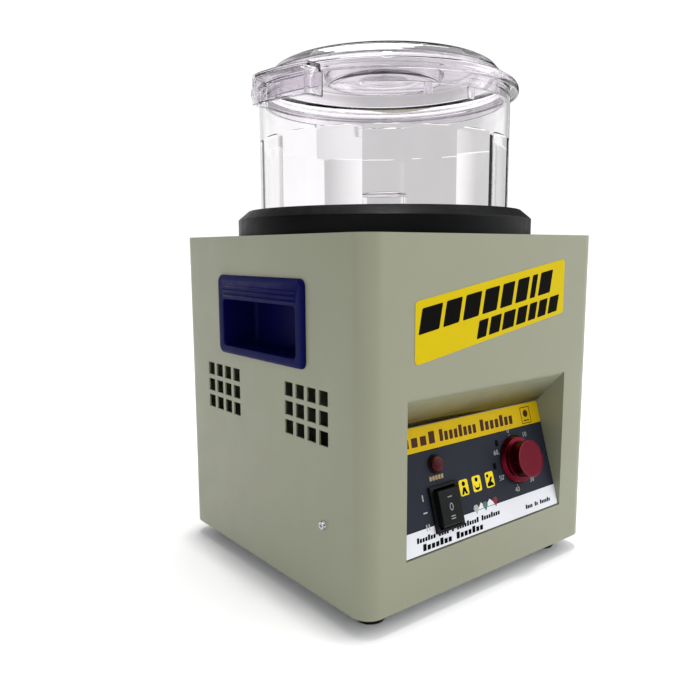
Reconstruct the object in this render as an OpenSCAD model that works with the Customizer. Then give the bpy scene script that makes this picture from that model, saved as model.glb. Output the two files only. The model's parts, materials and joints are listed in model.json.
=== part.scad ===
// Bench-top magnetic tumbler: a folded sheet cabinet with a clear bowl and lid on a round seat.
// The cabinet faces -Y, the lid's grip points to -X, and the origin is on the floor under the centre.

/* [Cabinet] */
// Width and depth of the square cabinet
cab_w = 224; // [200:1:240]
// Height of the cabinet without its feet
cab_h = 231; // [225:1:250]
// Outside radius of the cabinet's upright corners
corner_r = 13; // [8:0.5:18]
// Thickness of the sheet metal
sheet_t = 1.2; // [1:0.1:1.5]
// Height of the rubber feet under the cabinet
foot_h = 12; // [8:1:16]
// Distance of each foot's centre from the cabinet's sides
foot_inset = 23; // [20:1:32]

/* [Vents and handles] */
// Side of one square vent hole
vent_hole = 9.4; // [8:0.2:10]
// Spacing of the vent holes
vent_pitch = 12.65; // [12:0.05:13]
// Distance between the centres of a side's two vent groups
vent_group_gap = 106; // [100:1:112]
// Height of the middle row of vents above the cabinet's lower edge
vent_z = 118.7; // [110:0.1:124]
// Length of a handle's flange
handle_w = 108.8; // [104:0.2:112]
// Height of a handle's flange
handle_h = 57; // [54:1:60]
// Height of a handle's lower edge above the cabinet's lower edge
handle_z = 146.5; // [142:0.5:150]
// Depth of the finger pocket behind the cabinet wall
handle_depth = 26; // [22:1:28]

/* [Control recess] */
// Width of the recess
recess_w = 158; // [150:1:162]
// Height of the recess opening
recess_h = 101.6; // [100:0.2:104]
// Height of the opening's lower edge above the cabinet's lower edge
recess_z = 30; // [28:1:32]
// Length of the sloping control panel
panel_len = 80; // [76:1:82]
// Backward tilt of the control panel in degrees
panel_tilt = 16.7; // [14:0.1:18]
// Rocker switch, sideways and up the slope from the panel's lower middle
rocker_at = [-36.5, 24.8];
// Indicator lamp, sideways and up the slope
lamp_at = [-38.7, 53.5];
// Timer knob, sideways and up the slope
knob_at = [41.8, 41.2];

/* [Bowl and lid] */
// Outside diameter of the bowl
bowl_d = 185; // [180:1:187]
// Height of the bowl's rim above the cabinet's top
bowl_rim_z = 102.6; // [98:0.2:104]
// Height of the flat inner facets above the cabinet's top
facet_top_z = 69; // [60:1:75]
// Number of facets inside the bowl
facet_n = 18; // [14:1:24]
// Outside diameter of the seat ring
seat_d = 219.4; // [216:0.2:222]
// Direction of the lid's grip in degrees from +X
grip_angle = 189; // [180:1:195]

/* [Drive] */
// Diameter of the magnet disc
disc_d = 152; // [140:1:156]
// Number of magnets in the disc
magnet_n = 6; // [4:2:8]
// Diameter of the motor
motor_d = 108; // [100:1:112]
// Length of the stator's stack of laminations
stack_h = 42; // [36:1:44]
// Diameter of the motor shaft
shaft_d = 12; // [10:1:12]

/* [Hidden] */
$fn = 64;

half = cab_w / 2;
top_z = foot_h + cab_h;
inner = half - sheet_t;
steel_paint = [0.60, 0.60, 0.52];
zinc = [0.78, 0.78, 0.80];
black_plastic = [0.06, 0.06, 0.07];
handle_blue = [0.13, 0.13, 0.42];
clear = [0.85, 0.87, 0.92, 0.35];

// Control panel: its outer face starts just behind the cabinet's front.
panel_setback = 0.8;
overlay_t = 0.5;
panel_y = -half + panel_setback;
panel_z = foot_h + recess_z;
panel_top_y = panel_y + panel_len * sin(panel_tilt);
panel_top_z = panel_z + panel_len * cos(panel_tilt);
recess_top_z = foot_h + recess_z + recess_h;

// Front label: its long sides climb to the right and its ends are upright.
label_w = 147.4;
label_h = 38.4;
label_rise = 9.1;
label_z = foot_h + 183.2;
label_t = 0.3;

// Base tray
tray_t = 1.5;
tray_z = foot_h + 2;
tray_top = tray_z + tray_t;
tray_half = inner - 0.4;
side_screw = [-70.8, foot_h + 49.9];
rear_screw = [80, foot_h + 10];

// Rear panel
rear_open = [180, 190];
rear_panel_size = [196, 206];
rear_mid_z = foot_h + 116;
rear_y = half;
inlet_at = [60, foot_h + 58];

// Bowl seat and bowl
seat_r = seat_d / 2;
seat_hole_r = 97;
seat_floor = 1.5;
seat_wall_h = 11.9;
seat_h = 18.4;
seat_screw_r = 103.5;
bowl_r = bowl_d / 2;
bowl_wall = 2.5;
bowl_floor_t = 3;
bowl_base_z = top_z + seat_floor;
post_r = 14.7;
post_top_z = top_z + 33.2;

// Rocker: the hinge line is just behind the panel's face.
rocker_half = [13, 15];
rocker_pivot = 1.5;
rocker_pin_r = 1.5;

// Timer and knob
knob_r = 17.6;
knob_body_r = 13;
knob_front = 14;
knob_gap = 0.8;
spindle_r = 3;
bush_r = 4.5;

// Drive train, from the seat's floor down
magnet_top_z = top_z - 5;
disc_h = 12;
disc_z = magnet_top_z - disc_h;
bracket_t = 3;
bracket_z = top_z - 37;
pillar_at = 73;
bell_h = 18;
stack_top_z = bracket_z - bell_h;
stack_z = stack_top_z - stack_h;
motor_low_z = stack_z - bell_h;
motor_r = motor_d / 2;
stator_r = motor_r - 2;
bore_r = 30;
bearing_r = 16;
bearing_h = 10;
bearing_cover = 3;
shaft_r = shaft_d / 2;
shaft_low_z = motor_low_z - 22;
bolt_circle_r = 49;

// Electrical parts on the base tray
capacitor_at = [70, 40];
terminal_at = [-85, 62];
terminal_poles = 6;
terminal_pitch = 10;

// Leads from the inlet, the switch, the timer and the capacitor, each ending in a pole of the terminal strip
wire_r = 1.2;
wire_routes = [
    [[56, 84, 72], [50, 74, 60], [20, 66, 40], [-14, 54, 32], [-30, 53, 27], [-30, 66, 26]],
    [[64, 84, 72], [58, 70, 56], [20, 58, 36], [-20, 46, 28], [-40, 49, 25], [-40, 66, 26]],
    [[42, -60, 54], [40, -50, 46], [0, -40, 28], [-46, 10, 24], [-50, 50, 25], [-50, 66, 26]],
    [[-32, -75, 58], [-36, -60, 50], [-56, -20, 34], [-62, 30, 30], [-60, 54, 27], [-60, 66, 26]],
    [[-41, -75, 50], [-44, -62, 44], [-64, -20, 30], [-72, 30, 26], [-70, 54, 26], [-70, 66, 26]],
    [[64, 40, 84], [60, 34, 92], [30, 46, 70], [-20, 44, 48], [-66, 40, 36], [-80, 52, 28], [-80, 66, 26]]];

// Rounded rectangle with exact arcs, centred on the origin.
module rounded_rect(w, h, r) {
    square([w - 2 * r, h], center = true);
    square([w, h - 2 * r], center = true);
    for (x = [-1, 1], y = [-1, 1])
        translate([x * (w / 2 - r), y * (h / 2 - r)]) circle(r);
}

// Places children in the control panel's frame: X sideways, Z up the slope, -Y out of its face.
module on_panel(at = [0, 0]) {
    translate([0, panel_y, panel_z]) rotate([-panel_tilt, 0, 0]) translate([at[0], 0, at[1]])
        children();
}

// Cylinder along the panel's normal from depth a to depth b, where positive is behind the face.
module panel_rod(r, a, b) {
    translate([0, b, 0]) rotate([90, 0, 0]) cylinder(r = r, h = b - a);
}

// Pan head screw with a crossed recess: its head rises from Z = 0 and its shank goes down.
module pan_screw(shank_r, shank_l, head_r, head_h) {
    difference() {
        union() {
            cylinder(r1 = head_r, r2 = head_r * 0.8, h = head_h, $fn = 32);
            translate([0, 0, -shank_l]) cylinder(r = shank_r, h = shank_l, $fn = 24);
        }
        for (a = [0, 90]) rotate(a)
            translate([-head_r * 0.6, -head_r * 0.12, head_h * 0.45])
                cube([head_r * 1.2, head_r * 0.24, head_h]);
    }
}

// Columns of a side's vents, as distances along Y.
function vent_columns() = [for (g = [-1, 1], c = [-1.5:1:1.5]) g * vent_group_gap / 2 + c * vent_pitch];

module cabinet_shell() {
    color(steel_paint) difference() {
        translate([0, 0, foot_h]) linear_extrude(cab_h) rounded_rect(cab_w, cab_w, corner_r);
        translate([0, 0, foot_h - 1]) linear_extrude(cab_h + 1 - sheet_t)
            rounded_rect(2 * inner, 2 * inner, corner_r - sheet_t);
        translate([-recess_w / 2, -half - 1, panel_z]) cube([recess_w, 3, recess_h]);
        for (y = vent_columns(), row = [-1:1])
            translate([-half - 1, y - vent_hole / 2, foot_h + vent_z + row * vent_pitch - vent_hole / 2])
                cube([cab_w + 2, vent_hole, vent_hole]);
        for (side = [-1, 1]) {
            translate([side * half - 2, -48.6, foot_h + handle_z + 3.7]) cube([4, 97.2, 47.2]);
            translate([side * half, side_screw[0], side_screw[1]])
                rotate([0, 90, 0]) cylinder(r = 1.7, h = 6, center = true, $fn = 24);
            translate([side * rear_screw[0], half, rear_screw[1]])
                rotate([90, 0, 0]) cylinder(r = 1.7, h = 6, center = true, $fn = 24);
        }
        translate([0, 0, top_z - 3]) cylinder(r = seat_hole_r, h = 4, $fn = 96);
        for (a = [0:60:300]) rotate(a) translate([seat_screw_r, 0, top_z - 3])
            cylinder(r = 2.2, h = 4, $fn = 24);
        for (x = [-1, 1], y = [-1, 1]) translate([x * pillar_at, y * pillar_at, top_z - 3])
            cylinder(r = 3.5, h = 4, $fn = 24);
        translate([-rear_open[0] / 2, half - 2, rear_mid_z - rear_open[1] / 2])
            cube([rear_open[0], 4, rear_open[1]]);
        rear_screw_places() cylinder(r = 1.7, h = 6, center = true, $fn = 24);
    }
}

// Places children at the rear panel's six screws, with Z pointing out of the cabinet.
module rear_screw_places() {
    for (x = [-1, 1], z = [-1:1])
        translate([x * (rear_panel_size[0] / 2 - 4), rear_y, rear_mid_z + z * (rear_panel_size[1] / 2 - 5)])
            rotate([-90, 0, 0]) children();
}

// Welded pocket: two side walls, a sloping back with the cut-outs, a ceiling and a lower lip.
module control_recess() {
    back_t = overlay_t + sheet_t;
    back_w = recess_w + 2 * sheet_t;
    color(steel_paint) difference() {
        union() {
            for (side = [-1, 1])
                translate([side * (recess_w + sheet_t) / 2, 0, 0]) rotate([90, 0, 90])
                    linear_extrude(sheet_t, center = true) polygon([
                        [-inner, panel_z], [-inner, recess_top_z + 0.4],
                        [panel_top_y + 1.8, panel_top_z + 0.6], [panel_y + 1.8, panel_z]]);
            on_panel() translate([-back_w / 2, overlay_t, 0]) cube([back_w, sheet_t, panel_len + 0.6]);
            rotate([90, 0, 90]) linear_extrude(back_w, center = true) polygon([
                [-inner, recess_top_z - sheet_t], [panel_top_y, panel_top_z],
                [panel_top_y + 1.8, panel_top_z + 0.6], [-inner, recess_top_z + 0.4]]);
            translate([-back_w / 2, -inner, panel_z - 8]) cube([back_w, sheet_t, 8]);
        }
        on_panel(rocker_at) translate([-11, -1, -13.8]) cube([22, back_t + 2, 27.6]);
        on_panel(lamp_at) panel_rod(5, -1, back_t + 1);
        on_panel(knob_at) panel_rod(bush_r + 0.1, -1, back_t + 1);
    }
}

module base_tray() {
    tab_w = 28;
    tab_top = side_screw[1] + 10;
    color(zinc) difference() {
        union() {
            translate([0, 0, tray_z]) linear_extrude(tray_t)
                rounded_rect(2 * tray_half, 2 * tray_half, corner_r - sheet_t);
            for (side = [-1, 1])
                translate([side * (tray_half - tray_t / 2) - tray_t / 2, side_screw[0] - tab_w / 2, tray_top])
                    cube([tray_t, tab_w, tab_top - tray_top]);
            translate([-90, tray_half - tray_t, tray_top]) cube([180, tray_t, 12]);
        }
        for (x = [-1, 1], y = [-1, 1])
            translate([x * (half - foot_inset), y * (half - foot_inset), tray_z - 1])
                cylinder(r = 2.1, h = 4, $fn = 24);
        for (i = [-4:4]) translate([i * 12 - 3, -30, tray_z - 1]) cube([6, 60, 4]);
        for (side = [-1, 1]) {
            translate([side * tray_half, side_screw[0], side_screw[1]])
                rotate([0, 90, 0]) cylinder(r = 1.5, h = 8, center = true, $fn = 24);
            translate([side * rear_screw[0], tray_half, rear_screw[1]])
                rotate([90, 0, 0]) cylinder(r = 1.5, h = 8, center = true, $fn = 24);
        }
    }
}

module rear_panel() {
    color(steel_paint) difference() {
        translate([0, rear_y + sheet_t, rear_mid_z]) rotate([90, 0, 0]) linear_extrude(sheet_t)
            rounded_rect(rear_panel_size[0], rear_panel_size[1], 4);
        for (row = [0:7]) for (x = [-1, 1])
            translate([x * 36 - 25, rear_y - 1, foot_h + 118 + row * 9]) cube([50, 4, 4]);
        translate([inlet_at[0] - 14, rear_y - 1, inlet_at[1] - 16]) cube([28, 4, 32]);
        for (x = [-1, 1]) translate([inlet_at[0] + x * 20, rear_y, inlet_at[1]])
            rotate([-90, 0, 0]) cylinder(r = 1.7, h = 6, center = true, $fn = 24);
        rear_screw_places() cylinder(r = 1.7, h = 6, center = true, $fn = 24);
    }
}

module control_overlay() {
    color([0.22, 0.24, 0.30]) difference() {
        on_panel([0, panel_len / 2]) translate([0, overlay_t, 0]) rotate([90, 0, 0])
            linear_extrude(overlay_t) rounded_rect(recess_w - 0.8, panel_len - 1, 2);
        on_panel(rocker_at) translate([-11, -1, -13.8]) cube([22, 3, 27.6]);
        on_panel(lamp_at) panel_rod(5, -1, 2);
        on_panel(knob_at) panel_rod(bush_r + 0.1, -1, 2);
    }
}

module front_label() {
    r = 3;
    w = label_w / 2 - r;
    h = label_h / 2 - r;
    rise = w * tan(label_rise);
    color([0.84, 0.75, 0.08]) translate([0, -half, label_z]) rotate([90, 0, 0]) linear_extrude(label_t)
        offset(r = r, $fn = 32) polygon([[-w, -h - rise], [w, -h + rise], [w, h + rise], [-w, h - rise]]);
}

// Left-hand flush cup handle: a bevelled flange, grip grooves and a pocket that is taller inside.
module cup_handle() {
    z0 = foot_h + handle_z;
    pocket_w = 92.3;
    pocket_z = z0 + 6.1;
    pocket_h = 33.6;
    wall = 2;
    color(handle_blue) difference() {
        union() {
            translate([-half - 1.3, 0, z0 + handle_h / 2]) rotate([90, 0, 90]) linear_extrude(1.3)
                rounded_rect(handle_w, handle_h, 5);
            translate([-half - 2.6, 0, z0 + handle_h / 2]) rotate([90, 0, 90]) linear_extrude(1.3)
                rounded_rect(handle_w - 3, handle_h - 3, 4);
            translate([-half, -pocket_w / 2 - wall, pocket_z - wall])
                cube([handle_depth + wall, pocket_w + 2 * wall, 46]);
        }
        translate([-half - 4, -pocket_w / 2, pocket_z]) cube([handle_depth + 4, pocket_w, pocket_h]);
        translate([-half + 4, -pocket_w / 2, pocket_z]) cube([handle_depth - 4, pocket_w, 46 - 2 * wall]);
        for (i = [0:2]) translate([-half - 4, -pocket_w / 2, pocket_z + pocket_h + 2 + i * 3.3])
            cube([2.2, pocket_w, 1.3]);
    }
}

module left_handle() {
    cup_handle();
}

module right_handle() {
    mirror([1, 0, 0]) cup_handle();
}

module bowl_seat() {
    chamfer_r = 102;
    well_r = bowl_r + 2;
    color(black_plastic) difference() {
        translate([0, 0, top_z]) rotate_extrude($fn = 128) polygon([
            [0, -2], [seat_hole_r - 0.6, -2], [seat_hole_r - 0.6, 0], [seat_r, 0],
            [seat_r, seat_wall_h], [chamfer_r, seat_h], [well_r + 1, seat_h],
            [well_r, seat_h - 1], [well_r, seat_floor], [0, seat_floor]]);
        for (a = [0:60:300]) rotate(a) translate([seat_screw_r, 0, top_z - 1])
            cylinder(r = 1.6, h = 10, $fn = 24);
    }
}

module seat_screws() {
    color(zinc) for (a = [0:60:300]) rotate(a) translate([seat_screw_r, 0, top_z - sheet_t])
        rotate([180, 0, 0]) pan_screw(1.6, 9, 3.5, 2.4);
}

// Outline of the bowl's inside: flat facets with their corners on a circle.
function facet_points(r) = [for (i = [0:facet_n - 1]) r * [cos(i * 360 / facet_n), sin(i * 360 / facet_n)]];

module bowl() {
    inner_r = bowl_r - bowl_wall;
    rim = top_z + bowl_rim_z;
    floor_top = bowl_base_z + bowl_floor_t;
    color(clear) difference() {
        union() {
            difference() {
                translate([0, 0, bowl_base_z]) cylinder(r = bowl_r, h = rim - bowl_base_z, $fn = 128);
                translate([0, 0, floor_top]) linear_extrude(rim) polygon(facet_points(inner_r));
                translate([0, 0, top_z + facet_top_z]) cylinder(r = inner_r, h = 60, $fn = 128);
            }
            translate([0, 0, bowl_base_z]) cylinder(r = post_r, h = post_top_z - bowl_base_z);
        }
        translate([0, 0, bowl_base_z - 1])
            cylinder(r = post_r - 2, h = post_top_z - bowl_base_z - 1);
    }
}

// Lid: a low dome with a dished middle, an overhanging lip, a skirt, lugs and a hollow grip.
module lid() {
    rim = bowl_rim_z;
    lip_r = 98.4;
    skirt_r = bowl_r - bowl_wall - 0.6;
    dish_r = 41.5;
    dish_z = 111.5;
    grip_r = 109;
    grip_low = 85.4;
    grip_top = 105.5;
    grip_half = 27;
    boss_r = 18.5;
    color(clear) translate([0, 0, top_z]) {
        difference() {
            union() {
                rotate_extrude($fn = 128) polygon([
                    [0, dish_z], [dish_r + 2, dish_z], [dish_r + 2, 120.8], [66, 119.6], [76.5, 118],
                    [82, 113.6], [84.5, 109], [skirt_r - 2, 105.4], [skirt_r - 2, 94], [skirt_r, 94],
                    [skirt_r, rim], [lip_r - 2.4, rim], [lip_r - 2.4, 100.4], [lip_r - 0.6, 100.4],
                    [lip_r, 101], [lip_r, 104.4], [lip_r - 1, 106.4], [94, 108.4], [87.4, 111.6],
                    [85, 115.5], [81.5, 119.6], [78, 121.4], [66, 123.4], [dish_r + 3, 124.6],
                    [dish_r, 123.4], [dish_r, dish_z + 2], [0, dish_z + 2]]);
                difference() {
                    translate([0, 0, dish_z + 1.9]) cylinder(r = boss_r, h = 6.5);
                    for (a = [0:15:345]) rotate(a) translate([boss_r, 0, dish_z + 2.5])
                        cylinder(r = 1.3, h = 8, $fn = 16);
                }
                rotate(grip_angle) translate([0, -grip_half, grip_low])
                    intersection() {
                        cube([grip_r, 2 * grip_half, grip_top - grip_low]);
                        translate([0, grip_half, -1]) cylinder(r = grip_r, h = 30, $fn = 128);
                    }
            }
            // The grip is hollow from below, and the bowl fills the space inside the lip.
            translate([0, 0, grip_low - 1]) cylinder(r = lip_r - 2.4, h = rim - grip_low + 1, $fn = 128);
            rotate(grip_angle) translate([0, -grip_half + 2.4, grip_low - 1])
                intersection() {
                    cube([grip_r, 2 * grip_half - 4.8, grip_top - grip_low - 1.4]);
                    translate([0, grip_half - 2.4, 0]) cylinder(r = grip_r - 2.4, h = 30, $fn = 128);
                }
        }
        // The skirt again, because the grip's cut passes through it.
        rotate_extrude($fn = 128) polygon([
            [skirt_r - 2, 94], [skirt_r, 94], [skirt_r, rim + 0.5], [skirt_r - 2, rim + 0.5]]);
        for (a = [67, 88, 247, 268]) rotate(a) translate([skirt_r - 1.9, -3, 87])
            cube([1.6, 6, 7.5]);
    }
}

module rocker_frame() {
    color(black_plastic) on_panel(rocker_at) difference() {
        union() {
            translate([-rocker_half[0], -2, -rocker_half[1]])
                cube([2 * rocker_half[0], 2, 2 * rocker_half[1]]);
            translate([-10.9, 0, -13.7]) cube([21.8, 20, 27.4]);
        }
        translate([-10.1, -3, -13.2]) cube([20.2, 15, 26.4]);
        translate([0, rocker_pivot, 0]) rotate([0, 90, 0])
            cylinder(r = rocker_pin_r + 0.05, h = 30, center = true, $fn = 32);
    }
}

module rocker_paddle() {
    reach = 12;
    crown = -5.6;
    round_r = 1.6;
    color([0.09, 0.09, 0.10]) on_panel(rocker_at) {
        translate([0, rocker_pivot, 0]) rotate([0, 90, 0])
            cylinder(r = rocker_pin_r, h = 21.6, center = true, $fn = 32);
        rotate([90, 0, 90]) linear_extrude(19.4, center = true) {
            polygon([[4, -9], [4, 9], [crown + round_r, reach], [crown + round_r, -reach]]);
            polygon([[crown + round_r, -reach + round_r], [crown + round_r, reach - round_r],
                [crown, reach - round_r], [crown, -reach + round_r]]);
            for (s = [-1, 1]) translate([crown + round_r, s * (reach - round_r)]) circle(round_r, $fn = 32);
        }
    }
}

module rocker_terminals() {
    color([0.80, 0.72, 0.45]) on_panel(rocker_at) for (x = [-5, 5], s = [-9, 0, 9])
        translate([x - 3, 20, s - 0.4]) cube([6, 8, 0.8]);
}

module lamp_body() {
    color([0.10, 0.10, 0.10]) on_panel(lamp_at) {
        panel_rod(6.6, -0.9, 0);
        panel_rod(4.9, 0, 22);
    }
}

module lamp_lens() {
    color([0.55, 0.05, 0.08]) on_panel(lamp_at) {
        panel_rod(5.9, -3.4, -0.9);
        translate([0, -3.4, 0]) rotate([90, 0, 0]) cylinder(r1 = 5.9, r2 = 4.9, h = 1);
    }
}

module lamp_nut() {
    color(zinc) on_panel(lamp_at) difference() {
        translate([0, overlay_t + sheet_t + 3, 0]) rotate([90, 0, 0]) cylinder(r = 7.5, h = 3, $fn = 6);
        panel_rod(4.9, -1, 8);
    }
}

module timer_case() {
    back = overlay_t + sheet_t;
    color([0.85, 0.84, 0.78]) on_panel(knob_at) difference() {
        union() {
            translate([-22, back, -22]) cube([44, 32, 44]);
            panel_rod(bush_r, -6, back);
            for (x = [-12, 0, 12]) translate([x - 3, back + 32, -14]) cube([6, 8, 0.8]);
        }
        panel_rod(spindle_r + 0.05, -7, 16);
    }
}

module timer_spindle() {
    color(zinc) on_panel(knob_at) panel_rod(spindle_r, 1 - knob_front, 14);
}

module timer_nut() {
    color(zinc) on_panel(knob_at) difference() {
        rotate([90, 0, 0]) cylinder(r = 6.6, h = 2.2, $fn = 6);
        panel_rod(bush_r, -3, 1);
    }
}

// Knob: a skirt with a bevelled edge, a narrower body and a fine raised rim round its front.
module timer_knob() {
    skirt_h = 3.6;
    set_screw_y = -9.6;
    color([0.55, 0.10, 0.20]) on_panel(knob_at) difference() {
        rotate([90, 0, 0]) rotate_extrude($fn = 96) polygon([
            [0, knob_gap], [knob_r - 0.3, knob_gap], [knob_r, knob_gap + 0.3],
            [knob_r - 1.6, knob_gap + skirt_h], [knob_body_r, knob_gap + skirt_h],
            [knob_body_r, knob_front - 1.8], [knob_body_r + 0.4, knob_front - 1.4],
            [knob_body_r + 0.4, knob_front - 0.5], [knob_body_r - 0.1, knob_front],
            [knob_body_r - 0.9, knob_front - 0.3], [0, knob_front - 0.3]]);
        panel_rod(8, -7, 0);
        panel_rod(spindle_r, 1 - knob_front, 0);
        translate([0, set_screw_y, -15]) cylinder(r = 1.5, h = 13, $fn = 24);
    }
}

module knob_set_screw() {
    color(zinc) on_panel(knob_at) translate([0, -9.6, -12]) cylinder(r = 1.5, h = 12 - spindle_r, $fn = 24);
}

module motor_bracket() {
    color(zinc) difference() {
        translate([0, 0, bracket_z]) linear_extrude(bracket_t) rounded_rect(164, 164, 10);
        translate([0, 0, bracket_z - 1]) cylinder(r = 22, h = 5);
        for (x = [-1, 1], y = [-1, 1]) translate([x * pillar_at, y * pillar_at, bracket_z - 1])
            cylinder(r = 2.1, h = 5, $fn = 24);
        for (a = [45:90:315]) rotate(a) translate([bolt_circle_r, 0, bracket_z - 1])
            cylinder(r = 2.6, h = 5, $fn = 24);
        for (a = [0:90:270]) rotate(a) translate([66, 0, bracket_z - 1]) cylinder(r = 9, h = 5);
    }
}

// Pillars riveted flush into the cabinet's top, under the seat ring.
module bracket_pillars() {
    low = bracket_z + bracket_t;
    color(zinc) for (x = [-1, 1], y = [-1, 1]) translate([x * pillar_at, y * pillar_at, 0]) difference() {
        union() {
            translate([0, 0, low]) cylinder(r = 6.2, h = top_z - sheet_t - low, $fn = 6);
            translate([0, 0, low + 5]) cylinder(r = 3.5, h = top_z - low - 5, $fn = 24);
        }
        translate([0, 0, low - 1]) cylinder(r = 2, h = 13, $fn = 24);
    }
}

module bracket_screws() {
    color(zinc) for (x = [-1, 1], y = [-1, 1]) translate([x * pillar_at, y * pillar_at, bracket_z])
        rotate([180, 0, 0]) pan_screw(2, 12, 4, 2.8);
}

// Cup-shaped motor end with a bearing boss, its closed end at Z = 0 and its rim at Z = bell_h.
module end_bell() {
    plate = 4;
    difference() {
        union() {
            difference() {
                cylinder(r = motor_r, h = bell_h, $fn = 96);
                translate([0, 0, plate]) cylinder(r = motor_r - 7.5, h = bell_h, $fn = 96);
            }
            cylinder(r = 19, h = bearing_cover + bearing_h + 1);
        }
        translate([0, 0, bearing_cover]) cylinder(r = bearing_r, h = bell_h);
        translate([0, 0, -1]) cylinder(r = shaft_r + 1, h = bell_h);
        for (a = [0:90:270]) rotate(a) translate([bolt_circle_r, 0, -1])
            cylinder(r = 2, h = bell_h + 2, $fn = 24);
        for (a = [45:90:315]) rotate(a) translate([bolt_circle_r, 0, -1])
            cylinder(r = 2.5, h = 9, $fn = 24);
        for (a = [22.5:45:337.5]) rotate(a) translate([34, 0, -1]) cylinder(r = 5, h = plate + 2);
    }
}

module upper_end_bell() {
    color([0.72, 0.73, 0.75]) translate([0, 0, bracket_z]) mirror([0, 0, 1]) end_bell();
}

module lower_end_bell() {
    color([0.72, 0.73, 0.75]) translate([0, 0, motor_low_z]) end_bell();
}

module stator_core() {
    color([0.45, 0.46, 0.50]) translate([0, 0, stack_z]) difference() {
        cylinder(r = stator_r, h = stack_h, $fn = 96);
        translate([0, 0, -1]) cylinder(r = bore_r, h = stack_h + 2, $fn = 96);
        for (a = [0:90:270]) rotate(a) translate([bolt_circle_r, 0, -1])
            cylinder(r = 2, h = stack_h + 2, $fn = 24);
    }
}

// End turns of the windings above and below the stack.
module stator_windings() {
    color([0.72, 0.38, 0.16]) for (z = [stack_z - 9, stack_top_z]) translate([0, 0, z])
        rotate_extrude($fn = 96) polygon([[33, 2], [35, 0], [43, 0], [45, 2], [45, 7], [43, 9], [35, 9], [33, 7]]);
}

module rotor_core() {
    color([0.55, 0.56, 0.60]) translate([0, 0, stack_z]) difference() {
        union() {
            translate([0, 0, 1]) cylinder(r = bore_r - 0.5, h = stack_h - 2, $fn = 96);
            translate([0, 0, -2.5]) cylinder(r = 26, h = stack_h + 5);
        }
        translate([0, 0, -3]) cylinder(r = shaft_r, h = stack_h + 6);
    }
}

module motor_shaft() {
    color(zinc) translate([0, 0, shaft_low_z]) cylinder(r = shaft_r, h = disc_z + 6 - shaft_low_z);
}

// Ball bearing drawn as one ring with grooved faces.
module bearing() {
    difference() {
        cylinder(r = bearing_r, h = bearing_h);
        translate([0, 0, -1]) cylinder(r = shaft_r + 0.03, h = bearing_h + 2);
        for (z = [-1, bearing_h - 0.8]) translate([0, 0, z]) difference() {
            cylinder(r = 13, h = 1.8);
            cylinder(r = 9, h = 1.8);
        }
    }
}

module upper_bearing() {
    color(zinc) translate([0, 0, bracket_z - bearing_cover - bearing_h]) bearing();
}

module lower_bearing() {
    color(zinc) translate([0, 0, motor_low_z + bearing_cover]) bearing();
}

module motor_tie_bolts() {
    color(zinc) for (a = [0:90:270]) rotate(a) translate([bolt_circle_r, 0, motor_low_z])
        rotate([180, 0, 0]) pan_screw(2, bracket_z - motor_low_z, 4, 3);
}

module motor_mount_screws() {
    color(zinc) for (a = [45:90:315]) rotate(a) translate([bolt_circle_r, 0, bracket_z + bracket_t])
        pan_screw(2.5, bracket_t + 7, 4.6, 3.2);
}

module cooling_fan() {
    color([0.16, 0.16, 0.17]) translate([0, 0, shaft_low_z + 3]) difference() {
        union() {
            cylinder(r = 12, h = 13);
            cylinder(r = 44, h = 1.6, $fn = 96);
            for (a = [0:40:320]) rotate(a) translate([11, -1, 0]) cube([32.5, 2, 13]);
        }
        translate([0, 0, -1]) cylinder(r = shaft_r, h = 20);
    }
}

module magnet_places() {
    for (i = [0:magnet_n - 1]) rotate(i * 360 / magnet_n) translate([disc_d / 2 - 21, 0, 0]) children();
}

module magnet_disc() {
    color([0.74, 0.75, 0.77]) difference() {
        union() {
            translate([0, 0, disc_z]) cylinder(r = disc_d / 2, h = disc_h, $fn = 96);
            translate([0, 0, disc_z - 13]) cylinder(r = 14, h = 14);
        }
        translate([0, 0, disc_z - 14]) cylinder(r = shaft_r, h = 20);
        magnet_places() translate([0, 0, disc_z + 2]) cylinder(r = 16, h = disc_h);
        translate([0, 0, disc_z - 7]) rotate([0, 90, 0]) cylinder(r = 2.5, h = 20, $fn = 24);
    }
}

module magnets() {
    color([0.82, 0.82, 0.84]) magnet_places() translate([0, 0, disc_z + 2]) cylinder(r = 16, h = disc_h - 2);
}

module disc_set_screw() {
    color([0.2, 0.2, 0.2]) translate([shaft_r, 0, disc_z - 7]) rotate([0, 90, 0])
        cylinder(r = 2.5, h = 7.5, $fn = 24);
}

module run_capacitor() {
    color([0.88, 0.88, 0.86]) translate([capacitor_at[0], capacitor_at[1], tray_top]) {
        cylinder(r = 17.5, h = 58);
        for (x = [-6, 6]) translate([x - 3, -0.4, 58]) cube([6, 0.8, 8]);
    }
}

module capacitor_clamp() {
    color(zinc) translate([capacitor_at[0], capacitor_at[1], tray_top]) difference() {
        union() {
            cylinder(r = 19, h = 14);
            translate([-32, -7, 0]) cube([64, 14, 1.5]);
            for (x = [-27, 27]) translate([x, 0, 0]) cylinder(r = 4, h = 4, $fn = 24);
        }
        translate([0, 0, -1]) cylinder(r = 17.5, h = 16);
    }
}

// Screw terminal strip: a block with an open notch on both sides of each pole and a screw well between them.
module terminal_block() {
    color([0.90, 0.88, 0.82]) translate([terminal_at[0], terminal_at[1], tray_top]) difference() {
        cube([terminal_poles * terminal_pitch, 20, 14]);
        for (i = [0:terminal_poles - 1]) {
            translate([i * terminal_pitch + 1.5, -1, 7]) cube([terminal_pitch - 3, 6, 8]);
            translate([i * terminal_pitch + 1.5, 15, 7]) cube([terminal_pitch - 3, 6, 8]);
            translate([(i + 0.5) * terminal_pitch, 10, 8]) cylinder(r = 2.5, h = 7, $fn = 24);
        }
    }
}

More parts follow.
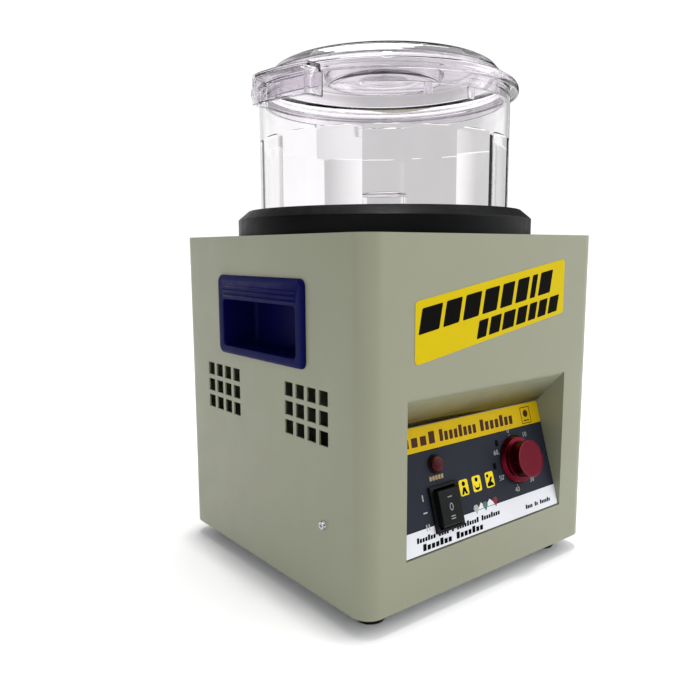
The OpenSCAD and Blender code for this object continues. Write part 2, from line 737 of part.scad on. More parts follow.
// Point at step t between p[i] and p[i + 1] on a smooth curve through the points p.
function blend_point(p, i, t) =
    let (a = p[max(i - 1, 0)], b = p[i], c = p[i + 1], d = p[min(i + 2, len(p) - 1)])
    b + 0.5 * t * (c - a + t * (2 * a - 5 * b + 4 * c - d + t * (3 * (b - c) + d - a)));

// Smooth path through the points p with n steps between neighbours.
function smooth_path(p, n) = concat([for (i = [0:len(p) - 2], k = [0:n - 1]) blend_point(p, i, k / n)],
    [p[len(p) - 1]]);

// Round wire of radius r along the points p, as one closed surface.
module wire(p, r) {
    path = smooth_path(p, 4);
    last = len(path) - 1;
    sides = 8;
    away = [0.31, 0.95, 0.05];
    rings = [for (i = [0:last])
        let (along = path[min(i + 1, last)] - path[max(i - 1, 0)],
            u = cross(along, away) / norm(cross(along, away)),
            v = cross(along / norm(along), u))
        for (k = [0:sides - 1]) path[i] + r * (cos(k * 360 / sides) * u + sin(k * 360 / sides) * v)];
    polyhedron(rings, concat(
        [[for (k = [0:sides - 1]) k]],
        [for (i = [0:last - 1], k = [0:sides - 1])
            let (a = i * sides, b = (k + 1) % sides) [a + k, a + sides + k, a + sides + b, a + b]],
        [[for (k = [sides - 1:-1:0]) last * sides + k]]), convexity = 4);
}

module wiring() {
    shades = [[0.45, 0.25, 0.12], [0.15, 0.30, 0.70], [0.10, 0.10, 0.10],
        [0.60, 0.10, 0.10], [0.85, 0.75, 0.10], [0.85, 0.85, 0.85]];
    for (i = [0:len(wire_routes) - 1]) color(shades[i]) wire(wire_routes[i], wire_r);
}

// Appliance inlet with its socket above and a drawer for the fuse below.
module power_inlet() {
    color(black_plastic) translate([inlet_at[0], rear_y + sheet_t, inlet_at[1]]) difference() {
        union() {
            translate([-25, 0, -16.5]) cube([50, 3, 33]);
            translate([-13.8, -28, -15.8]) cube([27.6, 28, 31.6]);
        }
        translate([-12, -15, -3]) cube([24, 19, 11]);
        translate([-8.5, -15, 7]) cube([17, 19, 6.5]);
        translate([-11.2, -22, -14.2]) cube([22.4, 27, 8.4]);
        for (x = [-1, 1]) translate([x * 20, 0, 0]) rotate([90, 0, 0])
            cylinder(r = 1.7, h = 10, center = true, $fn = 24);
    }
}

module inlet_pins() {
    color(zinc) translate([inlet_at[0], rear_y + sheet_t - 15, inlet_at[1]])
        for (p = [[-7, 1], [7, 1], [0, 6]]) translate([p[0] - 1, 0, p[1] - 2]) cube([2, 14, 4]);
}

module inlet_screws() {
    color(zinc) for (x = [-1, 1])
        translate([inlet_at[0] + x * 20, rear_y + sheet_t + 3, inlet_at[1]])
            rotate([-90, 0, 0]) pan_screw(1.5, 9, 2.9, 1.8);
}

// Fuse drawer: a finger plate in front of a tray with a cradle for the fuse.
module fuse_drawer() {
    color([0.10, 0.10, 0.11]) translate([inlet_at[0], rear_y + sheet_t, inlet_at[1] - 10]) difference() {
        union() {
            translate([-11, -21.5, -4]) cube([22, 24, 8]);
            translate([-11, 2.5, -4]) cube([22, 1, 8]);
        }
        translate([-3, -20.4, -3]) cube([6, 21, 9]);
        translate([-8, 2.6, -1]) cube([16, 2, 2]);
    }
}

module fuse() {
    color([0.80, 0.80, 0.75]) translate([inlet_at[0], rear_y + sheet_t - 20.2, inlet_at[1] - 10.4])
        rotate([-90, 0, 0]) {
            cylinder(r = 2.2, h = 20, $fn = 32);
            for (y = [0, 15]) translate([0, 0, y]) cylinder(r = 2.6, h = 5, $fn = 32);
        }
}

module case_screws() {
    color(zinc) for (side = [-1, 1]) {
        translate([side * half, side_screw[0], side_screw[1]])
            rotate([0, side * 90, 0]) pan_screw(1.5, 8, 2.9, 1.9);
        translate([side * rear_screw[0], half, rear_screw[1]])
            rotate([-90, 0, 0]) pan_screw(1.5, 8, 2.9, 1.9);
    }
}

module rear_panel_screws() {
    color(zinc) rear_screw_places() translate([0, 0, sheet_t]) pan_screw(1.5, 7, 2.9, 1.9);
}

// Rubber foot at the corner given by the signs of x and y.
module foot(x, y) {
    color([0.05, 0.05, 0.05]) translate([x * (half - foot_inset), y * (half - foot_inset), 0])
        difference() {
            union() {
                cylinder(r1 = 9.6, r2 = 10.4, h = 2);
                translate([0, 0, 2]) cylinder(r = 10.4, h = tray_z - 2);
            }
            translate([0, 0, -1]) cylinder(r = 5, h = 8);
            cylinder(r = 2, h = tray_z + 1, $fn = 24);
        }
}

module foot_front_left() {
    foot(-1, -1);
}

module foot_front_right() {
    foot(1, -1);
}

module foot_rear_left() {
    foot(-1, 1);
}

module foot_rear_right() {
    foot(1, 1);
}

// Foot screws with their heads in the feet and their nuts on the tray.
module foot_screws() {
    color(zinc) for (x = [-1, 1], y = [-1, 1])
        translate([x * (half - foot_inset), y * (half - foot_inset), 7]) {
            rotate([180, 0, 0]) pan_screw(2, tray_top + 5 - 7, 4, 2.8);
            translate([0, 0, tray_top - 7]) cylinder(r = 4, h = 3, $fn = 6);
        }
}

// Earth stud on the tray with a ring terminal and a nut.
module earth_stud() {
    color([0.80, 0.72, 0.45]) translate([20, 90, tray_top]) {
        cylinder(r = 2, h = 14, $fn = 24);
        cylinder(r = 5, h = 1, $fn = 32);
        translate([0, 0, 1]) cylinder(r = 4, h = 3.2, $fn = 6);
    }
}

cabinet_shell();
control_recess();
base_tray();
rear_panel();
control_overlay();
front_label();
left_handle();
right_handle();
bowl_seat();
seat_screws();
bowl();
lid();
rocker_frame();
rocker_paddle();
rocker_terminals();
lamp_body();
lamp_lens();
lamp_nut();
timer_case();
timer_spindle();
timer_nut();
timer_knob();
knob_set_screw();
motor_bracket();
bracket_pillars();
bracket_screws();
upper_end_bell();
lower_end_bell();
stator_core();
stator_windings();
rotor_core();
motor_shaft();
upper_bearing();
lower_bearing();
motor_tie_bolts();
motor_mount_screws();
cooling_fan();
magnet_disc();
magnets();
disc_set_screw();
run_capacitor();
capacitor_clamp();
terminal_block();
wiring();
power_inlet();
inlet_pins();
inlet_screws();
fuse_drawer();
fuse();
case_screws();
rear_panel_screws();
foot_front_left();
foot_front_right();
foot_rear_left();
foot_rear_right();
foot_screws();
earth_stud();
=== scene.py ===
"""Bench-top magnetic tumbler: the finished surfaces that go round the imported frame.

Shapes are worked out in millimetres in a local frame of their own and turned into metres when
their mesh is made.  The cabinet faces -Y, Z is up, and the lid's grip points to -X.
"""

import json
import logging
import math
from dataclasses import dataclass
from enum import Enum

import bmesh
import bpy
import numpy as np
from mathutils import Matrix, Vector

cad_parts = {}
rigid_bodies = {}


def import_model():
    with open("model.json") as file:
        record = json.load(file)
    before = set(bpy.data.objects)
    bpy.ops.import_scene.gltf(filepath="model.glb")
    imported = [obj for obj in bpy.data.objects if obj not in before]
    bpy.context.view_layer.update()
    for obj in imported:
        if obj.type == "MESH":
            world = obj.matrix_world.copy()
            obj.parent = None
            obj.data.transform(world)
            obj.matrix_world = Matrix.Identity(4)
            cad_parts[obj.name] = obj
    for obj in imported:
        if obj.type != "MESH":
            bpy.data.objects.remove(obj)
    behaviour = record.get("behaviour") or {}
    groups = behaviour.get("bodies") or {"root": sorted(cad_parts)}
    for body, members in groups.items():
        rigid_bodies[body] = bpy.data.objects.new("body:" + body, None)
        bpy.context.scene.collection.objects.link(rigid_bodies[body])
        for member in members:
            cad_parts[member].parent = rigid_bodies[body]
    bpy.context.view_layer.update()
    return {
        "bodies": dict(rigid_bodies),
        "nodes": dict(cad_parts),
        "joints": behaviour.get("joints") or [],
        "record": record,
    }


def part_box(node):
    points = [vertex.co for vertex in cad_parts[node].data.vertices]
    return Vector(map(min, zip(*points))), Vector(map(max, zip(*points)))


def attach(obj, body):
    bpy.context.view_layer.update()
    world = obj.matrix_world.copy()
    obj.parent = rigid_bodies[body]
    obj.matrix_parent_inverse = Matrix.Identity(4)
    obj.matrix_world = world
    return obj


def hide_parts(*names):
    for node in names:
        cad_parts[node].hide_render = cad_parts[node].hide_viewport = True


MM = 0.001
Rgb = tuple[float, float, float]
Point = tuple[float, float, float]
Value = bpy.types.NodeSocket | float | tuple
INK_MM = 0.06
log = logging.getLogger("tumbler")


# ---------------------------------------------------------------- shapes


@dataclass(frozen=True)
class Place:
    """A right-handed local frame: its origin in millimetres and its three unit axes."""

    origin: Point = (0.0, 0.0, 0.0)
    right: Point = (1.0, 0.0, 0.0)
    up: Point = (0.0, 1.0, 0.0)
    out: Point = (0.0, 0.0, 1.0)

    def world(self, points: np.ndarray) -> np.ndarray:
        """Turns local points into model points: origin + x right + y up + z out."""
        return np.asarray(points, float) @ np.array([self.right, self.up, self.out]) + self.origin

    def moved(self, x: float = 0.0, y: float = 0.0, z: float = 0.0) -> "Place":
        """Returns the same frame with its origin at the local point (x, y, z)."""
        return Place(tuple(self.world([x, y, z])), self.right, self.up, self.out)

    def spun(self, degrees: float) -> "Place":
        """Returns the frame turned about its own outward axis.

        Args:
            degrees: the turn, anticlockwise as seen from outside.

        Returns:
            The turned frame.
        """
        c, s = math.cos(math.radians(degrees)), math.sin(math.radians(degrees))
        right, up = np.array(self.right), np.array(self.up)
        return Place(self.origin, tuple(c * right + s * up), tuple(c * up - s * right), self.out)


UPRIGHT = Place()
# A direction that no lead runs along.
ACROSS_LEADS = (0.31, 0.95, 0.05)


def fillet(corners: list[tuple[float, float]], radii: float | list[float], steps: int = 6,
           closed: bool = False) -> np.ndarray:
    """Rounds the corners of a flat line with circular arcs.

    Each corner P becomes the rational quadratic curve from A to C with P as its middle point and
    the sine of half the corner's angle as that point's weight, which is exactly an arc.

    Args:
        corners: the line's points.
        radii: one radius, or one for each point; 0 keeps the point.
        steps: arc segments at each corner.
        closed: whether the last point joins the first.

    Returns:
        The rounded line, one row a point.
    """
    p = np.asarray(corners, float)
    r = np.broadcast_to(np.asarray(radii, float), len(p)).copy()
    back, ahead = np.roll(p, 1, 0) - p, np.roll(p, -1, 0) - p
    back_l, ahead_l = np.linalg.norm(back, axis=1), np.linalg.norm(ahead, axis=1)
    if not closed:
        r[[0, -1]] = 0
    back, ahead = back / back_l[:, None], ahead / ahead_l[:, None]
    half = np.arccos(np.clip((back * ahead).sum(1), -1, 1)) / 2
    cut = np.minimum(r / np.maximum(np.tan(half), 1e-6), 0.49 * np.minimum(back_l, ahead_l))
    t = np.linspace(0, 1, steps + 1)[None, :, None]
    w = np.sin(half)[:, None, None]
    a, c = (p + back * cut[:, None])[:, None], (p + ahead * cut[:, None])[:, None]
    arc = ((1 - t) ** 2 * a + 2 * t * (1 - t) * w * p[:, None] + t ** 2 * c) / (
        (1 - t) ** 2 + 2 * t * (1 - t) * w + t ** 2)
    keep = np.ones((len(p), steps + 1), bool)
    keep[cut < 1e-6, 1:] = False
    return arc[keep]


def rounded_box(width: float, height: float, radius: float, steps: int = 6,
                centre: tuple[float, float] = (0.0, 0.0)) -> np.ndarray:
    """Outline of a rectangle whose corners are arcs, run anticlockwise.

    Args:
        width, height: the rectangle's sides.
        radius: radius of its corners.
        steps: arc segments at each corner.
        centre: the rectangle's middle.

    Returns:
        The outline, one row a point.
    """
    x, y = width / 2, height / 2
    line = fillet([(-x, -y), (x, -y), (x, y), (-x, y)], max(radius, 0.01), steps, closed=True)
    return line + np.array(centre)


def disc(radius: float, sides: int = 32, centre: tuple[float, float] = (0.0, 0.0)) -> np.ndarray:
    """Outline of a circle: radius times the cosine and sine of evenly spaced angles.

    Args:
        radius: the circle's radius.
        sides: how many points it has.
        centre: its middle.

    Returns:
        The outline, one row a point.
    """
    a = np.arange(sides) * 2 * math.pi / sides
    return np.stack([np.cos(a), np.sin(a)], 1) * radius + np.array(centre)


class Surface:
    """Vertices and faces gathered from grids, in local millimetres."""

    def __init__(self) -> None:
        """Starts empty."""
        self.points: list[np.ndarray] = []
        self.faces: list[list[int]] = []
        self.count = 0

    def grid(self, rows: np.ndarray, wrap_rows: bool = False, cap: bool = False) -> "Surface":
        """Adds rings of points joined by quads.

        Args:
            rows: points as (ring, point on the ring, 3); every ring is closed.
            wrap_rows: joins the last ring to the first, as on a torus.
            cap: closes the first and the last ring with a flat face.

        Returns:
            The surface itself.
        """
        n, m = rows.shape[:2]
        index = self.count + np.arange(n * m).reshape(n, m)
        index = np.concatenate([index, index[:, :1]], 1)
        if wrap_rows:
            index = np.concatenate([index, index[:1]], 0)
        quads = np.stack([index[:-1, :-1], index[:-1, 1:], index[1:, 1:], index[1:, :-1]], -1)
        self.faces += quads.reshape(-1, 4).tolist()
        if cap:
            self.faces += [index[0, m - 1::-1].tolist(), index[n - 1, :m].tolist()]
        self.points.append(rows.reshape(-1, 3))
        self.count += n * m
        return self

    def turned(self, profile: np.ndarray, sides: int = 128, closed: bool = False) -> "Surface":
        """Adds a profile of (radius, height) carried round the Z axis.

        Args:
            profile: rows of radius and height.
            sides: columns round the axis.
            closed: whether the profile's last point joins its first.

        Returns:
            The surface itself.
        """
        a = np.arange(sides) * 2 * math.pi / sides
        ring = np.stack([np.cos(a), np.sin(a), np.zeros(sides)], 1)[None]
        rise = np.array([0.0, 0.0, 1.0])
        return self.grid(profile[:, :1, None] * ring + profile[:, 1:, None] * rise, wrap_rows=closed)

    def stacked(self, rings: list[np.ndarray], heights: list[float]) -> "Surface":
        """Adds flat outlines, all with as many points, stacked at these heights and capped.

        Args:
            rings: the outlines, from the first to the last.
            heights: one height for each outline.

        Returns:
            The surface itself.
        """
        flat = np.stack(rings)
        z = np.broadcast_to(np.asarray(heights, float)[:, None, None], flat.shape[:2] + (1,))
        return self.grid(np.concatenate([flat, z], 2), cap=True)

    def slab(self, outline: np.ndarray, low: float, high: float) -> "Surface":
        """Adds an outline pushed straight up from one height to another."""
        return self.stacked([outline, outline], [low, high])

    def tube(self, path: np.ndarray, radius: float, sides: int = 12) -> "Surface":
        """Adds a round tube: a circle square to the path's direction at each of its points.

        Args:
            path: points along the tube's middle.
            radius: the tube's radius.
            sides: how many points a circle has.

        Returns:
            The surface itself.
        """
        along = np.gradient(path, axis=0)
        along /= np.linalg.norm(along, axis=1)[:, None]
        u = np.cross(along, ACROSS_LEADS)
        u /= np.linalg.norm(u, axis=1)[:, None]
        v = np.cross(along, u)
        a = (np.arange(sides) * 2 * math.pi / sides)[None, :, None]
        rings = path[:, None] + radius * (np.cos(a) * u[:, None] + np.sin(a) * v[:, None])
        return self.grid(rings, cap=True)

    def build(self, name: str, place: Place = UPRIGHT, sharp_deg: float = 30.0) -> bpy.types.Object:
        """Makes the mesh object, in metres, closed at its poles and with its faces outwards.

        Args:
            name: the piece's name.
            place: the local frame that the points are in.
            sharp_deg: edges sharper than this stay sharp in the shading.

        Returns:
            The new object, linked to the scene.
        """
        mesh = bpy.data.meshes.new(name)
        mesh.from_pydata(place.world(np.concatenate(self.points)) * MM, [], self.faces)
        return new_object(name, mesh, sharp_deg)


def new_object(name: str, mesh: bpy.types.Mesh, sharp_deg: float, merge: float = 1e-7,
               flat_deg: float = 0.0) -> bpy.types.Object:
    """Cleans a mesh and links an object for it.

    Args:
        name: the piece's name.
        mesh: closed shells, whose double points are merged here.
        sharp_deg: edges sharper than this stay sharp in the shading.
        merge: distance in metres below which points are one.
        flat_deg: faces that meet flatter than this are joined into one; 0 leaves them.

    Returns:
        The linked object, at the origin.
    """
    work = bmesh.new()
    work.from_mesh(mesh)
    bmesh.ops.remove_doubles(work, verts=work.verts, dist=merge)
    if flat_deg:
        bmesh.ops.dissolve_limit(work, angle_limit=math.radians(flat_deg), verts=work.verts,
                                 edges=work.edges, use_dissolve_boundaries=False)
    bmesh.ops.recalc_face_normals(work, faces=work.faces)
    work.to_mesh(mesh)
    work.free()
    mesh.shade_smooth()
    mesh.set_sharp_from_angle(angle=math.radians(sharp_deg))
    piece = bpy.data.objects.new(name, mesh)
    bpy.context.scene.collection.objects.link(piece)
    return piece


def from_cad(node: str, name: str, edge_mm: float = 0.4, segments: int = 2) -> bpy.types.Object:
    """Copies a CAD node's mesh, merges it and rounds its edges.

    Args:
        node: the CAD node.
        name: the new piece's name.
        edge_mm: radius of the rounded edges; 0 leaves them sharp.
        segments: segments across a rounded edge.

    Returns:
        The new object, with a live Bevel modifier.
    """
    mesh = bpy.data.objects[node].data.copy()
    mesh.name = name
    mesh.materials.clear()
    piece = new_object(name, mesh, 35.0, merge=2e-6, flat_deg=0.4)
    if edge_mm:
        bevel = piece.modifiers.new("edges", "BEVEL")
        bevel.width = edge_mm * MM
        bevel.segments = segments
        bevel.limit_method = "ANGLE"
        bevel.angle_limit = math.radians(35)
        bevel.use_clamp_overlap = True
        bevel.harden_normals = True
    return piece


def combined(piece: bpy.types.Object, *others: bpy.types.Object,
             operation: str = "UNION") -> bpy.types.Object:
    """Joins other closed pieces to one, or cuts them out of it, and removes them.

    Args:
        piece: the piece that stays.
        others: the pieces that are used up.
        operation: UNION or DIFFERENCE.

    Returns:
        The piece, with its new mesh.
    """
    for other in others:
        join = piece.modifiers.new("join", "BOOLEAN")
        join.operation = operation
        join.solver = "EXACT"
        join.object = other
        bpy.context.view_layer.update()
        mesh = bpy.data.meshes.new_from_object(piece.evaluated_get(bpy.context.evaluated_depsgraph_get()))
        piece.modifiers.clear()
        piece.data = mesh
        bpy.data.objects.remove(other)
    return piece


# ---------------------------------------------------------------- finishes


def srgb(red: float, green: float, blue: float) -> Rgb:
    """Linear colour of a screen colour given as three numbers from 0 to 255.

    Args:
        red, green, blue: the parts of the screen colour.

    Returns:
        The linear colour.
    """
    c = np.array([red, green, blue]) / 255
    return tuple(np.where(c <= 0.04045, c / 12.92, ((c + 0.055) / 1.055) ** 2.4).tolist())


class Shader:
    """One node material, with short calls that add and wire its nodes."""

    def __init__(self, name: str) -> None:
        """Makes the material and finds its Object coordinates and its surface.

        Args:
            name: the material's name.
        """
        self.material = bpy.data.materials.new(name)
        self.material.use_nodes = True
        self.nodes, self.links = self.material.node_tree.nodes, self.material.node_tree.links
        self.surface = self.nodes["Principled BSDF"]
        self.at = self.nodes.new("ShaderNodeTexCoord").outputs["Object"]

    def add(self, kind: str, settings: dict | None = None, **inputs: Value) -> bpy.types.Node:
        """Adds a node of this kind, sets its settings, and wires or sets its inputs.

        Args:
            kind: the node's type, without the ShaderNode that all of them start with.
            settings: attributes to set on it.
            inputs: values by input name, or by i and the input's number.

        Returns:
            The node.
        """
        node = self.nodes.new("ShaderNode" + kind)
        for key, value in (settings or {}).items():
            setattr(node, key, value)
        for key, value in inputs.items():
            self.feed(node.inputs[int(key[1:]) if key[1:].isdigit() else key], value)
        return node

    def feed(self, socket: bpy.types.NodeSocket, value: Value) -> None:
        """Wires a socket into an input, or sets the input to a number or a colour.

        Args:
            socket: the input.
            value: a socket, a number or a colour.
        """
        if isinstance(value, bpy.types.NodeSocket):
            self.links.new(value, socket)
        elif socket.type == "RGBA" and len(value) == 3:
            socket.default_value = (*value, 1.0)
        else:
            socket.default_value = value

    def set(self, **inputs: Value) -> None:
        """Wires or sets the surface's inputs; an underscore stands for a space.

        Args:
            inputs: values by input name.
        """
        for key, value in inputs.items():
            self.feed(self.surface.inputs[key.replace("_", " ")], value)

    def noise(self, cell_mm: float, detail: float = 2.0, stretch: Point = (1, 1, 1)) -> bpy.types.NodeSocket:
        """Soft noise with cells of this size, stretched along the axes, from 0 to 1.

        Args:
            cell_mm: size of a cell.
            detail: how many finer layers it has.
            stretch: how dense the cells are along each axis.

        Returns:
            The noise.
        """
        place = self.add("Mapping", i3=stretch, i0=self.at)
        node = self.add("TexNoise", Vector=place.outputs[0], Scale=1 / (cell_mm * MM), Detail=detail)
        return node.outputs[0]

    def cells(self, cell_mm: float) -> bpy.types.NodeSocket:
        """A random grey for each crystal-like cell, from 0 to 1.

        Args:
            cell_mm: size of a cell.

        Returns:
            The grey.
        """
        node = self.add("TexVoronoi", Vector=self.at, Scale=1 / (cell_mm * MM))
        return self.add("RGBToBW", Color=node.outputs["Color"]).outputs[0]

    def math(self, operation: str, a: Value, b: Value = 0.0) -> bpy.types.NodeSocket:
        """One arithmetic step on two numbers."""
        return self.add("Math", {"operation": operation}, i0=a, i1=b).outputs[0]

    def along(self, axis: Point, start_mm: float = 0.0) -> bpy.types.NodeSocket:
        """Distance in millimetres along an axis: the dot product with it, less the start.

        Args:
            axis: a unit direction.
            start_mm: the distance that counts as zero.

        Returns:
            The distance.
        """
        dot = self.add("VectorMath", {"operation": "DOT_PRODUCT"}, i0=self.at, i1=tuple(v / MM for v in axis))
        return self.math("SUBTRACT", dot.outputs["Value"], start_mm)

    def spread(self, value: Value, low: float, high: float,
               source: tuple[float, float] = (0.0, 1.0)) -> bpy.types.NodeSocket:
        """Maps a number from the source range to low and high."""
        return self.add("MapRange", Value=value, i1=source[0], i2=source[1], i3=low, i4=high).outputs[0]

    def mix(self, share: Value, a: Value, b: Value) -> bpy.types.NodeSocket:
        """Blends two colours by a share from 0 to 1.

        Args:
            share: how much of the second colour shows.
            a, b: the two colours.

        Returns:
            The blend.
        """
        node = self.add("Mix", {"data_type": "RGBA"}, i0=share, i6=a, i7=b)
        return node.outputs[2]

    def bump(self, height: Value, depth_mm: float, strength: float = 1.0) -> None:
        """Adds relief of this depth on top of any relief that is already there.

        Args:
            height: relief from 0 to 1.
            depth_mm: how deep it is.
            strength: the share of it that shows.
        """
        node = self.add("Bump", Height=height, Distance=depth_mm * MM, Strength=strength)
        if self.surface.inputs["Normal"].links:
            self.links.new(self.surface.inputs["Normal"].links[0].from_socket, node.inputs["Normal"])
        self.set(Normal=node.outputs[0])


def shade(colour: Rgb, share: float) -> Rgb:
    """The colour made lighter or darker by a share."""
    return tuple(min(1.0, c * share) for c in colour)


@dataclass(frozen=True)
class Finish:
    """A surface with a slightly uneven colour and gloss and a fine grain.

    Sizes are in millimetres; mottle and gloss_change say how far the colour and the roughness
    wander over patches of mottle_mm.
    """

    name: str
    colour: Rgb
    roughness: float = 0.5
    metallic: float = 0.0
    mottle: float = 0.05
    mottle_mm: float = 25.0
    grain_mm: float = 0.5
    grain_depth: float = 0.01
    gloss_change: float = 0.06
    coat: float = 0.0
    specular: float = 0.25
    ior: float = 1.5

    def material(self) -> bpy.types.Material:
        """The material, made once for each name and kept apart from the frame's own by a prefix."""
        return bpy.data.materials.get("finish_" + self.name) or self.shaded().material

    def shaded(self) -> Shader:
        """Wires the colour, the gloss and the grain, then the finish's own pattern.

        Returns:
            The wired shader.
        """
        shader = Shader("finish_" + self.name)
        patch = shader.noise(self.mottle_mm, 4.0)
        tint = shader.mix(shader.spread(patch, 0, 1, (0.3, 0.7)),
                          shade(self.colour, 1 - self.mottle), shade(self.colour, 1 + self.mottle))
        shader.set(Base_Color=tint, Metallic=self.metallic, Coat_Weight=self.coat,
                   Specular_IOR_Level=self.specular, IOR=self.ior)
        gloss = shader.noise(self.mottle_mm * 0.3, 3.0)
        shader.set(Roughness=shader.spread(gloss, self.roughness - self.gloss_change,
                                           self.roughness + self.gloss_change, (0.3, 0.7)))
        if self.grain_depth:
            shader.bump(shader.noise(self.grain_mm, 2.0), self.grain_depth)
        self.pattern(shader, tint)
        return shader

    def pattern(self, shader: Shader, tint: bpy.types.NodeSocket) -> None:
        """Adds what only this finish shows; the plain one adds nothing."""


@dataclass(frozen=True)
class PowderCoat(Finish):
    """Baked powder paint: orange peel with a finer grit and a faint sparkle of light specks."""

    peel_mm: float = 1.6

    def pattern(self, shader: Shader, tint: bpy.types.NodeSocket) -> None:
        """Adds the orange peel and the specks.

        Args:
            shader: the material that is being wired.
            tint: its uneven base colour.
        """
        shader.bump(shader.noise(self.peel_mm, 1.0), 0.02)
        speck = shader.math("GREATER_THAN", shader.noise(0.35, 0.0), 0.72)
        shader.set(Base_Color=shader.mix(shader.math("MULTIPLY", speck, 0.35), tint, shade(self.colour, 1.3)))


@dataclass(frozen=True)
class SparkTexture(Finish):
    """Moulded plastic with a spark-eroded skin: a matt grain whose crests get a painted highlight, a lighter
    colour mixed in.
    """

    # painted highlight: the lighter colour mixed onto the grain's crests
    crest_highlight: Rgb = (0.2, 0.2, 0.21)
    crest_highlight_share: float = 0.35

    def pattern(self, shader: Shader, tint: bpy.types.NodeSocket) -> None:
        """Paints the grain's crests lighter: a painted highlight.

        Args:
            shader: the material that is being wired.
            tint: its uneven base colour.
        """
        # painted highlight on the grain's crests
        crest_highlight_mask = shader.spread(shader.noise(self.grain_mm, 1.0), 0, self.crest_highlight_share, (0.56, 0.72))
        shader.set(Base_Color=shader.mix(crest_highlight_mask, tint, self.crest_highlight))


@dataclass(frozen=True)
class ClearPlastic(Finish):
    """Clear moulded plastic: see-through, with faint flow waves and fine wiping scratches."""

    def pattern(self, shader: Shader, tint: bpy.types.NodeSocket) -> None:
        """Makes it see-through and adds waves and scratches.

        Args:
            shader: the material that is being wired.
            tint: its uneven base colour.
        """
        shader.set(Transmission_Weight=1.0)
        shader.bump(shader.noise(26.0, 1.0, (1, 1, 0.4)), 0.05)
        scratch = shader.math("GREATER_THAN", shader.noise(1.2, 0.0, (0.06, 1.0, 1.0)), 0.8)
        shader.set(Roughness=shader.spread(scratch, self.roughness, self.roughness + 0.1))


@dataclass(frozen=True)
class TurnedMetal(Finish):
    """Metal cut on a lathe: fine rings round an axis, with the sheen drawn out across them."""

    centre: Point = (0.0, 0.0, 0.0)
    axis: Point = (0.0, 0.0, 1.0)
    ring_mm: float = 0.6
    ring_depth: float = 0.0015

    def pattern(self, shader: Shader, tint: bpy.types.NodeSocket) -> None:
        """Rings: the sine of the distance from the axis, found as a cross product's length.

        Args:
            shader: the material that is being wired.
            tint: its uneven base colour.
        """
        centred = shader.add("VectorMath", {"operation": "SUBTRACT"}, i0=shader.at,
                             i1=tuple(v * MM for v in self.centre))
        across = shader.add("VectorMath", {"operation": "CROSS_PRODUCT"}, i0=centred.outputs[0], i1=self.axis)
        radius = shader.add("VectorMath", {"operation": "LENGTH"}, i0=across.outputs[0]).outputs["Value"]
        wave = shader.math("SINE", shader.math("MULTIPLY", radius, 2 * math.pi / (self.ring_mm * MM)))
        shader.bump(wave, self.ring_depth)
        shader.set(Anisotropic=0.55)


@dataclass(frozen=True)
class Stacked(Finish):
    """Thin sheets stacked along Z, each with its own tone and a groove between it and the next."""

    sheet_mm: float = 0.65

    def pattern(self, shader: Shader, tint: bpy.types.NodeSocket) -> None:
        """Grooves are a sine of the height; tones are noise that is flat across each sheet.

        Args:
            shader: the material that is being wired.
            tint: its uneven base colour.
        """
        height = shader.along((0, 0, 1))
        wave = shader.math("SINE", shader.math("MULTIPLY", height, 2 * math.pi / self.sheet_mm))
        shader.bump(wave, 0.05)
        layer = shader.noise(self.sheet_mm * 1.5, 1.0, (0.01, 0.01, 1.0))
        shader.set(Base_Color=shader.mix(shader.spread(layer, 0, 1, (0.35, 0.65)),
                                         shade(self.colour, 0.6), shade(self.colour, 1.4)))


@dataclass(frozen=True)
class Spangled(Finish):
    """Zinc-plated steel: crystal-like patches that differ in tone and gloss."""

    crystal_mm: float = 5.0

    def pattern(self, shader: Shader, tint: bpy.types.NodeSocket) -> None:
        """Gives each crystal its own tone and gloss.

        Args:
            shader: the material that is being wired.
            tint: its uneven base colour.
        """
        crystal = shader.cells(self.crystal_mm)
        shader.set(Base_Color=shader.mix(crystal, shade(self.colour, 0.82), shade(self.colour, 1.08)),
                   Roughness=shader.spread(crystal, self.roughness - 0.1, self.roughness + 0.12))


@dataclass(frozen=True)
class PanelFilm(Finish):
    """Printed film in three fields up the slope, parted by thin dark lines, under a clear skin."""

    slope: Point = (0.0, 0.0, 1.0)
    start_mm: float = 0.0
    fields: tuple[float, float] = (15.7, 63.2)
    lower: Rgb = srgb(214, 216, 222)
    upper: Rgb = srgb(200, 168, 8)
    line: Rgb = srgb(22, 20, 22)
    line_mm: float = 0.55
    # painted shadow: a dark band along the film's lower edge, standing in for the shade in the gap beneath it
    gap_shadow_mm: float = 0.9
    gap_shadow: Rgb = srgb(52, 54, 38)

    def pattern(self, shader: Shader, tint: bpy.types.NodeSocket) -> None:
        """Chooses a field by the distance up the slope, with lines between and a painted shadow along the
        lower edge.

        Args:
            shader: the material that is being wired.
            tint: its uneven base colour.
        """
        rise = shader.along(self.slope, self.start_mm)
        colour = shader.mix(shader.math("LESS_THAN", rise, self.fields[0]), tint, self.lower)
        colour = shader.mix(shader.math("GREATER_THAN", rise, self.fields[1]), colour, self.upper)
        for height in self.fields:
            near = shader.math("ABSOLUTE", shader.math("SUBTRACT", rise, height))
            colour = shader.mix(shader.math("LESS_THAN", near, self.line_mm / 2), colour, self.line)
        # painted shadow along the film's lower edge
        colour = shader.mix(shader.math("LESS_THAN", rise, self.gap_shadow_mm), colour, self.gap_shadow)
        shader.set(Base_Color=colour)


@dataclass(frozen=True)
class Facetted(Finish):
    """Moulded lens: see-through colour over a field of small prisms."""

    prism_mm: float = 1.6

    def pattern(self, shader: Shader, tint: bpy.types.NodeSocket) -> None:
        """Adds the prisms as cell-shaped relief under a clear skin.

        Args:
            shader: the material that is being wired.
            tint: its uneven base colour.
        """
        cell = shader.add("TexVoronoi", Vector=shader.at, Scale=1 / (self.prism_mm * MM))
        shader.bump(cell.outputs["Distance"], 0.25, 0.5)
        shader.set(Transmission_Weight=0.1, Coat_Weight=0.1, Coat_Roughness=0.08)


